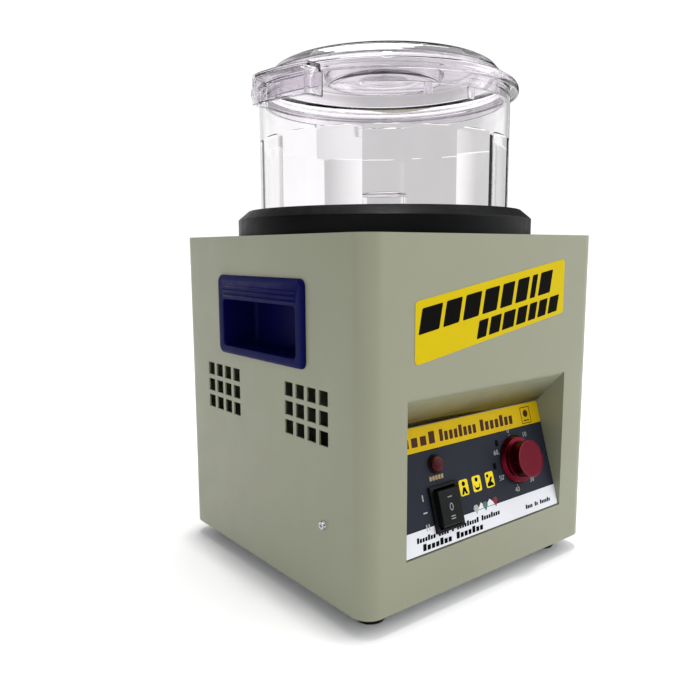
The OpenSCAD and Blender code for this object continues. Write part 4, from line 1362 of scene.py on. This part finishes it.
@dataclass
class ControlPanel(Assembly):
    """Sloping panel: printed film, rocker switch, lamp, dial and timer knob.

    Places on it are (sideways, up the slope) in millimetres from the middle of its lower edge.
    """

    rocker: tuple[float, float] = (-36.5, 24.8)
    lamp: tuple[float, float] = (-38.7, 53.5)
    knob: tuple[float, float] = (41.8, 41.2)
    crown: float = 5.6
    dial: float = 21.6
    digit: float = 5.0
    dial_zero: float = 97.0
    skirt: float = 17.6
    # two dark squares left of the knob, printed in black ink
    dark_squares: tuple[tuple[float, float], ...] = ((-17.2, 14.8), (-24.0, -0.4))
    carried: tuple[Carried, ...] = (
        Carried("rocker_frame", Paint.BLACK, "seat_plastic", 0.6),
        Carried("rocker_paddle", Paint.BLACK, "switch_plastic", 0.5, "rocker"),
        Carried("rocker_terminals", Paint.BRASS, "contact_brass", 0.15),
        Carried("lamp_nut", Paint.ZINC, "plated_steel", 0.3),
        Carried("timer_case", Paint.CREAM, "cream_plastic", 0.6),
        Carried("timer_nut", Paint.ZINC, "plated_steel", 0.25),
        Carried("timer_spindle", Paint.SHAFT, "shaft_steel", 0.3, "knob"),
        Carried("knob_set_screw", Paint.OXIDE, "shaft_steel", 0.15, "knob"),
    )

    def build(self) -> None:
        """Builds everything on the panel."""
        base = self.datum.panel()
        film = PanelFilm("panel_film", srgb(37, 40, 50), 0.46, grain_mm=0.4, grain_depth=0.004,
                         mottle=0.04, specular=0.08, slope=base.up,
                         start_mm=float(np.dot(base.origin, base.up)))
        self.keep("control_overlay", film)
        self.carry()
        self.print_title(base)
        self.print_icons(base)
        self.print_captions(base)
        self.print_dial()
        self.make_lamp()
        self.make_knob()

    def printed(self, name: str, place: Place, shapes: list[np.ndarray], paint: Finish) -> None:
        """Prints flat shapes on the panel's film in one ink."""
        self.put(ink(name, place, shapes), paint, "overlay_film", "cabinet")

    def print_title(self, base: Place) -> None:
        """Plain blocks and a plain badge on the yellow strip, and blocks on the white one.

        Args:
            base: the panel's frame.
        """
        shapes = []
        for left, right, count in ((-72.0, -34.0, 5), (-30.0, 7.0, 8), (11.0, 47.0, 7)):
            shapes += slanted_blocks(left, right, 66.9, 74.9, (1.0,) * count, 0.45, 0.08, short=0.76)
        self.printed("title_blocks", base, shapes, Paint.BROWN_INK)
        badge = Surface()
        frame = rounded_box(11.0, 12.4, 0.8, 4, (62.5, 70.8))
        hole = rounded_box(9.8, 11.2, 0.5, 4, (62.5, 70.8))
        layers = ((frame, 0.0), (frame, INK_MM), (hole, INK_MM), (hole, 0.0))
        rings = [np.concatenate([ring, np.full((len(ring), 1), z)], 1) for ring, z in layers]
        badge.grid(np.stack(rings), wrap_rows=True)
        badge.slab(disc(2.7, 32, (62.5, 72.0)), 0.0, INK_MM)
        badge.slab(rounded_box(6.4, 0.9, 0.2, 3, (62.5, 66.9)), 0.0, INK_MM)
        self.put(badge.build("title_badge", base), Paint.BROWN_INK, "overlay_film", "cabinet")
        lines = ((-67.0, 8.0, 11.4, 2.45, (7, 4, 1, 9, 8)), (-63.0, 2.4, 6.6, 3.85, (7, 7)),
                 (41.5, 4.8, 7.8, 2.1, (4, 2, 6)))
        notes = []
        for left, low, high, pitch, letters in lines:
            for count in letters:
                notes += slanted_blocks(left, left + count * pitch, low, high, (1.0,) * count, 0.3, 0.2,
                                        short=0.72)
                left += (count + 1.0) * pitch
        self.printed("strip_blocks", base, notes, Paint.INK)

    def print_icons(self, base: Place) -> None:
        """Three yellow tiles with a plain black sign each, and three cut stones above the strip.

        Args:
            base: the panel's frame.
        """
        middles = ((-16.4, 33.0), (-3.4, 33.0), (10.1, 33.0))
        tiles = [rounded_box(8.6, 10.8, 1.6, 5, at) for at in middles]
        self.printed("icon_tiles", base, tiles, Paint.YELLOW_INK)
        (x1, y1), (x2, y2), (x3, y3) = middles
        legs = np.array([(-2.9, -4.4), (-1.0, 0.2), (1.0, 0.2), (2.9, -4.4), (0.9, -4.4), (0, -2.2),
                         (-0.9, -4.4)])
        bowl = np.array([(-3.1, 0.2), (-1.6, -2.6), (1.6, -2.6), (3.1, 0.2), (2.2, -3.6), (0, -4.6),
                         (-2.2, -3.6)])
        tool = np.array([(-3.0, -4.4), (3.0, -4.4), (3.0, -3.0), (1.0, -1.4), (2.8, 1.4), (1.0, 1.8),
                         (-1.2, -1.2), (-3.0, -2.4)])
        signs = [legs + (x1, y1), disc(1.6, 24, (x1, y1 + 2.6)),
                 disc(1.5, 24, (x2, y2 + 2.8)), bowl + (x2, y2),
                 rounded_box(2.2, 2.2, 0.5, 4, (x3 - 1.9, y3 + 2.9)), tool + (x3, y3)]
        self.printed("icon_signs", base.moved(z=INK_MM), signs, Paint.INK)
        peaks = [np.array([(-7.0, 15.8), (1.5, 15.8), (-3.2, 20.0)]),
                 np.array([(0.5, 15.8), (12.0, 15.8), (5.8, 20.4)])]
        self.printed("strip_peaks", base, peaks, Paint.WHITE_INK)
        stone = np.array([(0, -3.6), (2.7, 0.6), (1.5, 2.8), (-1.5, 2.8), (-2.7, 0.6)])
        places = ((-8.7, 16.6, Paint.PALE_INK, "clear"), (0.65, 16.9, Paint.GREEN_INK, "green"),
                  (11.3, 17.6, Paint.RED_INK, "red"))
        for x, y, paint, word in places:
            self.printed(f"stone_{word}", base.moved(x, y, INK_MM), [stone], paint)

    def print_captions(self, base: Place) -> None:
        """Pale blocks under the lamp and pale signs beside the switch and on its paddle.

        Args:
            base: the panel's frame.
        """
        x, y = self.lamp
        caption = slanted_blocks(x - 7.5, x + 5.5, y - 10.2, y - 7.4, (1.0,) * 5, 0.35, 0.1)
        self.printed("lamp_caption", base, caption, Paint.TAN_INK)
        left, middle = self.rocker[0] - 18.6, self.rocker[1]
        pale = [rounded_box(0.9, 4.2, 0.3, 3, at) for at in (
            (left, middle + 9.4), (left - 1.1, middle - 9.4), (left + 1.1, middle - 9.4))]
        pale.append(rounded_box(3.6, 0.9, 0.3, 3, (left, middle)))
        self.printed("panel_signs", base, pale, Paint.PALE_INK)
        face = self.datum.panel(*self.rocker).moved(z=self.crown)
        marks = Surface()
        for rise in (6.6, -6.0, -7.6):
            marks.slab(rounded_box(4.0, 0.7, 0.2, 3, (0, rise)), 0, INK_MM)
        a = np.arange(40) * math.pi / 20
        oval = np.stack([np.cos(a) * 1.7, np.sin(a) * 2.5, np.zeros(40)], 1)
        hole = oval * (0.62, 0.72, 1)
        lift = (0, 0, INK_MM)
        marks.grid(np.stack([oval, oval + lift, hole + lift, hole]), wrap_rows=True)
        self.put(marks.build("paddle_signs", face), Paint.GREY_INK, "switch_plastic", "rocker")

    def print_dial(self) -> None:
        """Minute numbers round the knob, ten to every fifty degrees, with a dot at each ten and two dark
        squares.
        """
        centre = self.datum.panel(*self.knob)
        dots = []
        for step in range(7):
            angle = math.radians(self.dial_zero - 50.0 * step)
            out = np.array([math.cos(angle), math.sin(angle)])
            dots.append(disc(0.4, 16, tuple(out * (self.skirt + 0.8))))
            number = numeral(f"dial_{10 * step:02d}", str(10 * step), self.digit, out * self.dial, centre)
            self.put(number, Paint.PALE_INK, "overlay_film", "cabinet")
        self.printed("dial_dots", centre, dots, Paint.PALE_INK)
        # two dark squares in black ink
        squares = [rounded_box(3.4, 4.4, 0.6, 3, at) for at in self.dark_squares]
        self.printed("dial_stops", centre, squares, Paint.INK)

    def make_lamp(self) -> None:
        """Turns the lamp's black bezel and barrel, and its domed red lens."""
        place = self.datum.panel(*self.lamp)
        body = fillet([(0, 0.5), (5.3, 0.5), (5.3, 1.1), (6.0, 1.4), (6.4, 0.9), (6.4, 0), (4.9, 0),
                       (4.9, -22), (0, -22)], [0, 0, 0.2, 0.4, 0.4, 0, 0, 0.5, 0], 4)
        barrel = Surface().turned(body, 64).build("lamp_barrel", place)
        self.put(barrel, Paint.BLACK, "seat_plastic", "cabinet", "lamp_body")
        lens = fillet([(0, 0.6), (5.2, 0.6), (5.2, 1.2), (5.7, 1.6), (5.3, 3.6), (0, 4.5)],
                      [0, 0, 0.1, 0.4, 1.6, 0], 6)
        dome = Surface().turned(lens, 64).build("lamp_dome", place)
        self.put(dome, Paint.LENS, "lamp_red", "cabinet", "lamp_lens")

    def make_knob(self) -> None:
        """Turns the anodised knob: bevelled skirt, narrower body, fine raised rim, hollow behind."""
        place = self.datum.panel(*self.knob)
        profile = fillet(
            [(0, 13.05), (3.05, 13.05), (3.05, 7), (8, 7), (8, 0.8), (self.skirt - 0.3, 0.8),
             (self.skirt, 1.1), (self.skirt - 1.6, 4.4), (13.0, 4.5), (13.0, 12.1), (13.4, 12.5),
             (13.4, 13.5), (12.95, 14.0), (12.2, 13.7), (0, 13.55)],
            [0, 0, 0.2, 0.3, 0.2, 0.2, 0.3, 0.3, 0.4, 0.3, 0.15, 0.3, 0.3, 0.2, 0], 5)
        metal = TurnedMetal("knob_anodised", srgb(88, 14, 29), 0.24, 1.0, grain_depth=0.0, mottle=0.03,
                            mottle_mm=30, gloss_change=0.02, centre=tuple(place.origin), axis=place.out,
                            ring_mm=0.7, ring_depth=0.001)
        knob = Surface().turned(profile, 128).build("knob_turned", place)
        self.put(knob, metal, "knob_alloy", "knob", "timer_knob")


def numeral(name: str, text: str, size: float, middle: np.ndarray, place: Place) -> bpy.types.Object:
    """A printed number made from Blender's own font, centred on a point of a local frame.

    Args:
        name: the piece's name.
        text: the number.
        size: the font's size.
        middle: where its middle lies, as x and y.
        place: the frame of the face.

    Returns:
        The printed piece.
    """
    curve = bpy.data.curves.new(name, "FONT")
    curve.body, curve.size, curve.align_x, curve.align_y = text, size, "CENTER", "CENTER"
    curve.extrude, curve.resolution_u = INK_MM / 2, 3
    letter = bpy.data.objects.new(name + "_curve", curve)
    bpy.context.scene.collection.objects.link(letter)
    bpy.context.view_layer.update()
    mesh = bpy.data.meshes.new_from_object(letter.evaluated_get(bpy.context.evaluated_depsgraph_get()))
    bpy.data.objects.remove(letter)
    flat = np.empty(len(mesh.vertices) * 3)
    mesh.vertices.foreach_get("co", flat)
    points = flat.reshape(-1, 3) + (middle[0], middle[1], INK_MM / 2)
    mesh.vertices.foreach_set("co", (place.world(points) * MM).ravel())
    mesh.name = name
    return new_object(name, mesh, 30.0)


# ---------------------------------------------------------------- drive and electrical parts


@dataclass
class Drive(Assembly):
    """Motor, fan and magnet disc on one shaft, hung from the cabinet's top."""

    winding: tuple[float, float] = (33.0, 45.0)
    winding_high: float = 9.0
    strands: int = 24
    carried: tuple[Carried, ...] = (
        Carried("motor_bracket", Paint.ZINC, "plated_steel", 0.5),
        Carried("bracket_pillars", Paint.ZINC, "plated_steel", 0.3),
        Carried("bracket_screws", Paint.NICKEL, "screw_steel", 0.25),
        Carried("upper_end_bell", Paint.CAST, "cast_alloy", 0.9),
        Carried("lower_end_bell", Paint.CAST, "cast_alloy", 0.9),
        Carried("stator_core", Paint.CORE, "lamination", 0.3),
        Carried("rotor_core", Paint.CORE, "lamination", 0.5, "rotor"),
        Carried("motor_shaft", Paint.SHAFT, "shaft_steel", 0.6, "rotor"),
        Carried("upper_bearing", Paint.SHAFT, "shaft_steel", 0.3),
        Carried("lower_bearing", Paint.SHAFT, "shaft_steel", 0.3),
        Carried("motor_tie_bolts", Paint.NICKEL, "screw_steel", 0.3),
        Carried("motor_mount_screws", Paint.NICKEL, "screw_steel", 0.3),
        Carried("cooling_fan", Paint.FAN, "fan_plastic", 0.4, "rotor"),
        Carried("magnet_disc", Paint.DISC, "disc_alloy", 0.5, "rotor"),
        Carried("magnets", Paint.MAGNET, "magnet_nickel", 0.4, "rotor"),
        Carried("disc_set_screw", Paint.OXIDE, "shaft_steel", 0.2, "rotor"),
    )

    def build(self) -> None:
        """Rounds the carried parts and winds the coils.

        An end winding is a rounded section carried round the axis: the section's size swells with
        the cosine of the angle times the number of strands, and a finer wave that also depends on
        the place round the section makes the wire's lay.
        """
        self.carry()
        low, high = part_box("stator_windings")
        middle, half = sum(self.winding) / 2, (self.winding[1] - self.winding[0]) / 2
        across = np.arange(48) * 2 * math.pi / 48
        around = (np.arange(480) * 2 * math.pi / 480)[:, None]
        swell = 0.93 + 0.05 * np.cos(self.strands * around) + 0.02 * np.cos(9 * across + 96 * around)
        square = (np.abs(np.cos(across)) ** 4 + np.abs(np.sin(across)) ** 4) ** -0.25
        radius = middle + half * swell * square * np.cos(across)
        rise = self.winding_high / 2 * swell * square * np.sin(across)
        coils = Surface()
        for level in (low.z / MM + self.winding_high / 2, high.z / MM - self.winding_high / 2):
            rows = np.stack([radius * np.cos(around), radius * np.sin(around), rise + level], -1)
            coils.grid(rows, wrap_rows=True)
        self.put(coils.build("end_windings"), Paint.COPPER, "copper", "cabinet", "stator_windings")


@dataclass
class Electrics(Assembly):
    """Inlet, fuse, capacitor, terminal strip and the coloured leads between them."""

    lead: float = 1.2
    fuse_at: tuple[float, float, float] = (60.0, 93.0, 59.6)
    carried: tuple[Carried, ...] = (
        Carried("run_capacitor", Paint.WHITE, "white_plastic", 0.8),
        Carried("capacitor_clamp", Paint.ZINC, "plated_steel", 0.3),
        Carried("terminal_block", Paint.CREAM, "cream_plastic", 0.4),
        Carried("power_inlet", Paint.BLACK, "seat_plastic", 0.6),
        Carried("inlet_pins", Paint.BRASS, "contact_brass", 0.4),
        Carried("inlet_screws", Paint.NICKEL, "screw_steel", 0.25),
        Carried("fuse_drawer", Paint.BLACK, "switch_plastic", 0.3, "fuse_carrier"),
    )
    routes: tuple[tuple[str, Rgb, tuple[Point, ...]], ...] = (
        ("brown", srgb(110, 62, 34),
         ((56, 84, 72), (50, 74, 60), (20, 66, 40), (-14, 54, 32), (-30, 53, 27), (-30, 66, 26))),
        ("blue", srgb(36, 78, 170),
         ((64, 84, 72), (58, 70, 56), (20, 58, 36), (-20, 46, 28), (-40, 49, 25), (-40, 66, 26))),
        ("black", srgb(28, 28, 30),
         ((42, -60, 54), (40, -50, 46), (0, -40, 28), (-46, 10, 24), (-50, 50, 25), (-50, 66, 26))),
        ("red", srgb(164, 26, 30),
         ((-32, -75, 58), (-36, -60, 50), (-56, -20, 34), (-62, 30, 30), (-60, 54, 27), (-60, 66, 26))),
        ("yellow", srgb(222, 190, 30),
         ((-41, -75, 50), (-44, -62, 44), (-64, -20, 30), (-72, 30, 26), (-70, 54, 26), (-70, 66, 26))),
        ("white", srgb(220, 220, 216),
         ((64, 40, 84), (60, 34, 92), (30, 46, 70), (-20, 44, 48), (-66, 40, 36), (-80, 52, 28),
          (-80, 66, 26))),
    )

    @staticmethod
    def smooth(points: tuple[Point, ...], steps: int = 10) -> np.ndarray:
        """Draws a curve through the points.

        On each stretch it is the cubic whose slopes at its ends are half the chord between the
        neighbours on either side.

        Args:
            points: where the lead passes.
            steps: points on each stretch.

        Returns:
            The curve, one row a point.
        """
        p = np.asarray(points, float)
        a, b, c, d = np.concatenate([p[:1], p[:-2]]), p[:-1], p[1:], np.concatenate([p[2:], p[-1:]])
        t = (np.arange(steps) / steps)[None, :, None]
        a, b, c, d = (q[:, None] for q in (a, b, c, d))
        curve = b + 0.5 * t * (c - a + t * (2 * a - 5 * b + 4 * c - d + t * (3 * (b - c) + d - a)))
        return np.concatenate([curve.reshape(-1, 3), p[-1:]])

    def build(self) -> None:
        """Rounds the carried parts, sweeps the leads and makes the glass fuse."""
        self.carry()
        for i, (word, colour, points) in enumerate(self.routes):
            finish = Finish(f"lead_{word}", colour, 0.38, grain_mm=0.6, grain_depth=0.006, mottle=0.06,
                            mottle_mm=8)
            piece = Surface().tube(self.smooth(points), self.lead, 16).build(f"lead_{word}_wire")
            self.put(piece, finish, "wire_insulation", "cabinet", *(("wiring",) if i == 0 else ()))
        place = Place(self.fuse_at, (1.0, 0.0, 0.0), (0.0, 0.0, -1.0), (0.0, 1.0, 0.0))
        wall = fillet([(1.5, 4.0), (2.2, 4.0), (2.2, 16.0), (1.5, 16.0)], 0.05, 2, closed=True)
        tube = Surface().turned(wall, 48, closed=True)
        self.put(tube.build("fuse_tube", place), Paint.GLASS, "fuse_glass", "fuse_carrier", "fuse")
        caps = Surface()
        for low in (0.0, 15.0):
            caps.turned(fillet([(0, low), (2.6, low), (2.6, low + 5), (0, low + 5)], [0, 0.5, 0.5, 0], 4), 48)
        caps.tube(np.stack([np.zeros(9), np.zeros(9), np.linspace(4.9, 15.1, 9)], 1), 0.12, 8)
        self.put(caps.build("fuse_caps", place), Paint.NICKEL, "fuse_glass", "fuse_carrier")


# ---------------------------------------------------------------- studio


@dataclass
class Studio:
    """Pale floor, soft lights and the camera."""

    eye: Point = (-359.8, -407.9, 233.3)
    heading_deg: float = 51.322
    pitch_deg: float = 8.197
    roll_deg: float = -0.222
    lens: float = 35.86
    suns: tuple[tuple[str, Point, float, float], ...] = (
        ("front_sun", (0.55, -0.62, 0.78), 1.3, 80.0),
        ("high_sun", (0.04, 0.0, 1.0), 1.3, 6.0),
    )
    sun_distance: float = 3000.0
    floor_radius: float = 12000.0
    aim: Point = (0.0, 0.0, 180.0)
    sky: float = 0.68
    seen_bands: float = 12.0
    mirrored_bands: float = 3.0
    mirrored_turn: float = 1.31
    seen: tuple[float, float] = (0.64, 1.05)
    seen_wave: tuple[float, float] = (-0.5, 0.3)
    mirrored: tuple[float, float] = (0.12, 1.1)
    mirrored_wave: tuple[float, float] = (-0.7, 0.5)
    overhead: float = 0.3
    overhead_rise: tuple[float, float] = (0.3, 0.5)
    backdrop: float = 1.05
    lamps: tuple[tuple[str, Point, float, float], ...] = (
        ("side_light", (900.0, -900.0, 900.0), 500.0, 2.0),
        ("top_light", (100.0, 350.0, 1300.0), 700.0, 3.0),
    )

    def build(self) -> None:
        """Makes the camera first, then the floor, the world and the lights."""
        self.make_camera()
        self.make_floor()
        self.make_world()
        for name, at, size, power in self.lamps:
            light = bpy.data.lights.new(name, "AREA")
            light.shape, light.size, light.energy = "SQUARE", size * MM, power
            self.hang(light, np.array(at), np.array(at) - self.aim)
        for name, origin, strength, spread in self.suns:
            sun = bpy.data.lights.new(name, "SUN")
            sun.energy, sun.angle = strength, math.radians(spread)
            self.hang(sun, np.array(origin) * self.sun_distance, np.array(origin))
        bpy.context.scene.view_settings.view_transform = "Standard"

    def make_camera(self) -> None:
        """Points the camera along its heading, pitched down and rolled about its own axis."""
        h, p, r = (math.radians(v) for v in (self.heading_deg, self.pitch_deg, self.roll_deg))
        ahead = np.array([math.cos(h) * math.cos(p), math.sin(h) * math.cos(p), -math.sin(p)])
        level = np.array([math.sin(h), -math.cos(h), 0.0])
        rise = np.cross(level, ahead)
        right = math.cos(r) * level + math.sin(r) * rise
        up = -math.sin(r) * level + math.cos(r) * rise
        camera = bpy.data.objects.new("camera", bpy.data.cameras.new("camera"))
        camera.data.lens = self.lens
        camera.data.clip_start = 0.01
        matrix = np.eye(4)
        matrix[:3, 0], matrix[:3, 1], matrix[:3, 2] = right, up, -ahead
        matrix[:3, 3] = np.array(self.eye) * MM
        camera.matrix_world = Matrix(matrix.tolist())
        bpy.context.scene.collection.objects.link(camera)
        bpy.context.scene.camera = camera

    def make_floor(self) -> None:
        """A wide pale disc on which the feet stand."""
        a = np.arange(96) * 2 * math.pi / 96
        rim = np.stack([np.cos(a), np.sin(a), np.zeros(96)], 1) * self.floor_radius
        mesh = bpy.data.meshes.new("floor")
        mesh.from_pydata(rim * MM, [], [list(range(96))])
        floor = bpy.data.objects.new("floor", mesh)
        bpy.context.scene.collection.objects.link(floor)
        paper = Finish("floor_paper", (0.9, 0.9, 0.9), 0.75, mottle=0.0, grain_depth=0.0, specular=0.1)
        mesh.materials.append(paper.material())

    def make_world(self) -> None:
        """White where it is seen directly, even for lighting, and banded for clear plastic.

        For rays that come through clear plastic the level follows the cosine of the azimuth times
        the fine bands, and for mirrored rays that of the broad bands.  Both fall overhead, as in a
        studio with upright white screens.
        """
        world = bpy.data.worlds.new("studio")
        world.use_nodes = True
        nodes, links = world.node_tree.nodes, world.node_tree.links

        def fed(node: bpy.types.Node, *values: Value) -> bpy.types.NodeSocket:
            """Wires or sets a node's inputs in their order.

            Args:
                node: the new node.
                values: a socket or a number for each of its first inputs.

            Returns:
                The node's first output.
            """
            for slot, value in zip(node.inputs, values):
                if isinstance(value, bpy.types.NodeSocket):
                    links.new(value, slot)
                else:
                    slot.default_value = value
            return node.outputs[0]

        def step(operation: str, first: Value, second: Value = 0.0) -> bpy.types.NodeSocket:
            """One arithmetic node; each input is a socket or a number.

            Args:
                operation: the sum's kind.
                first, second: its inputs.

            Returns:
                The result.
            """
            node = nodes.new("ShaderNodeMath")
            node.operation = operation
            return fed(node, first, second)

        def between(share: Value, low: Value, high: Value, start: float = 0.0,
                    end: float = 1.0) -> bpy.types.NodeSocket:
            """Maps a number from start and end to low and high."""
            return fed(nodes.new("ShaderNodeMapRange"), share, start, end, low, high)

        path = nodes.new("ShaderNodeLightPath").outputs
        split = nodes.new("ShaderNodeSeparateXYZ")
        links.new(nodes.new("ShaderNodeNewGeometry").outputs["Position"], split.inputs[0])
        azimuth = step("ARCTAN2", split.outputs[1], split.outputs[0])
        fine = step("COSINE", step("MULTIPLY", azimuth, self.seen_bands))
        turned = step("ADD", step("MULTIPLY", azimuth, self.mirrored_bands), self.mirrored_turn)
        broad = step("COSINE", turned)
        overhead = between(split.outputs[2], 1.0, self.overhead, *self.overhead_rise)
        seen = step("MULTIPLY", between(fine, *self.seen, *self.seen_wave), overhead)
        mirrored = step("MULTIPLY", between(broad, *self.mirrored, *self.mirrored_wave), overhead)
        level = between(path["Is Glossy Ray"], self.sky, mirrored)
        level = between(path["Is Transmission Ray"], level, seen)
        back = nodes["Background"]
        back.inputs["Color"].default_value = (1.0, 1.0, 1.0, 1.0)
        links.new(between(path["Is Camera Ray"], level, self.backdrop), back.inputs["Strength"])
        bpy.context.scene.world = world

    def hang(self, light: bpy.types.Light, at: np.ndarray, back: np.ndarray) -> None:
        """Hangs a light at a point, in millimetres, with its back turned to a direction.

        Args:
            light: the light.
            at: where it hangs.
            back: the direction of its back.
        """
        holder = bpy.data.objects.new(light.name, light)
        back = back / np.linalg.norm(back)
        side = np.cross((0.0, 1.0, 0.001), back)
        side /= np.linalg.norm(side)
        matrix = np.eye(4)
        matrix[:3, 0], matrix[:3, 1], matrix[:3, 2] = side, np.cross(back, side), back
        matrix[:3, 3] = at * MM
        holder.matrix_world = Matrix(matrix.tolist())
        bpy.context.scene.collection.objects.link(holder)


def main() -> None:
    """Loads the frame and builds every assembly."""
    logging.basicConfig(level=logging.INFO, format="%(message)s")
    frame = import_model()
    datum = Datum.measured(frame["joints"])
    Studio().build()
    assemblies: list[Assembly] = [
        Sheetwork(datum), Feet(datum), CupHandle(datum),
        CupHandle(datum, side=Side.RIGHT, node="right_handle"),
        BowlSeat(datum), Bowl(datum), Lid(datum), FrontLabel(datum), ControlPanel(datum),
        Drive(datum), Electrics(datum)]
    for assembly in assemblies:
        log.info("-- %s", type(assembly).__name__)
        assembly.build()


if __name__ == "__main__":
    main()
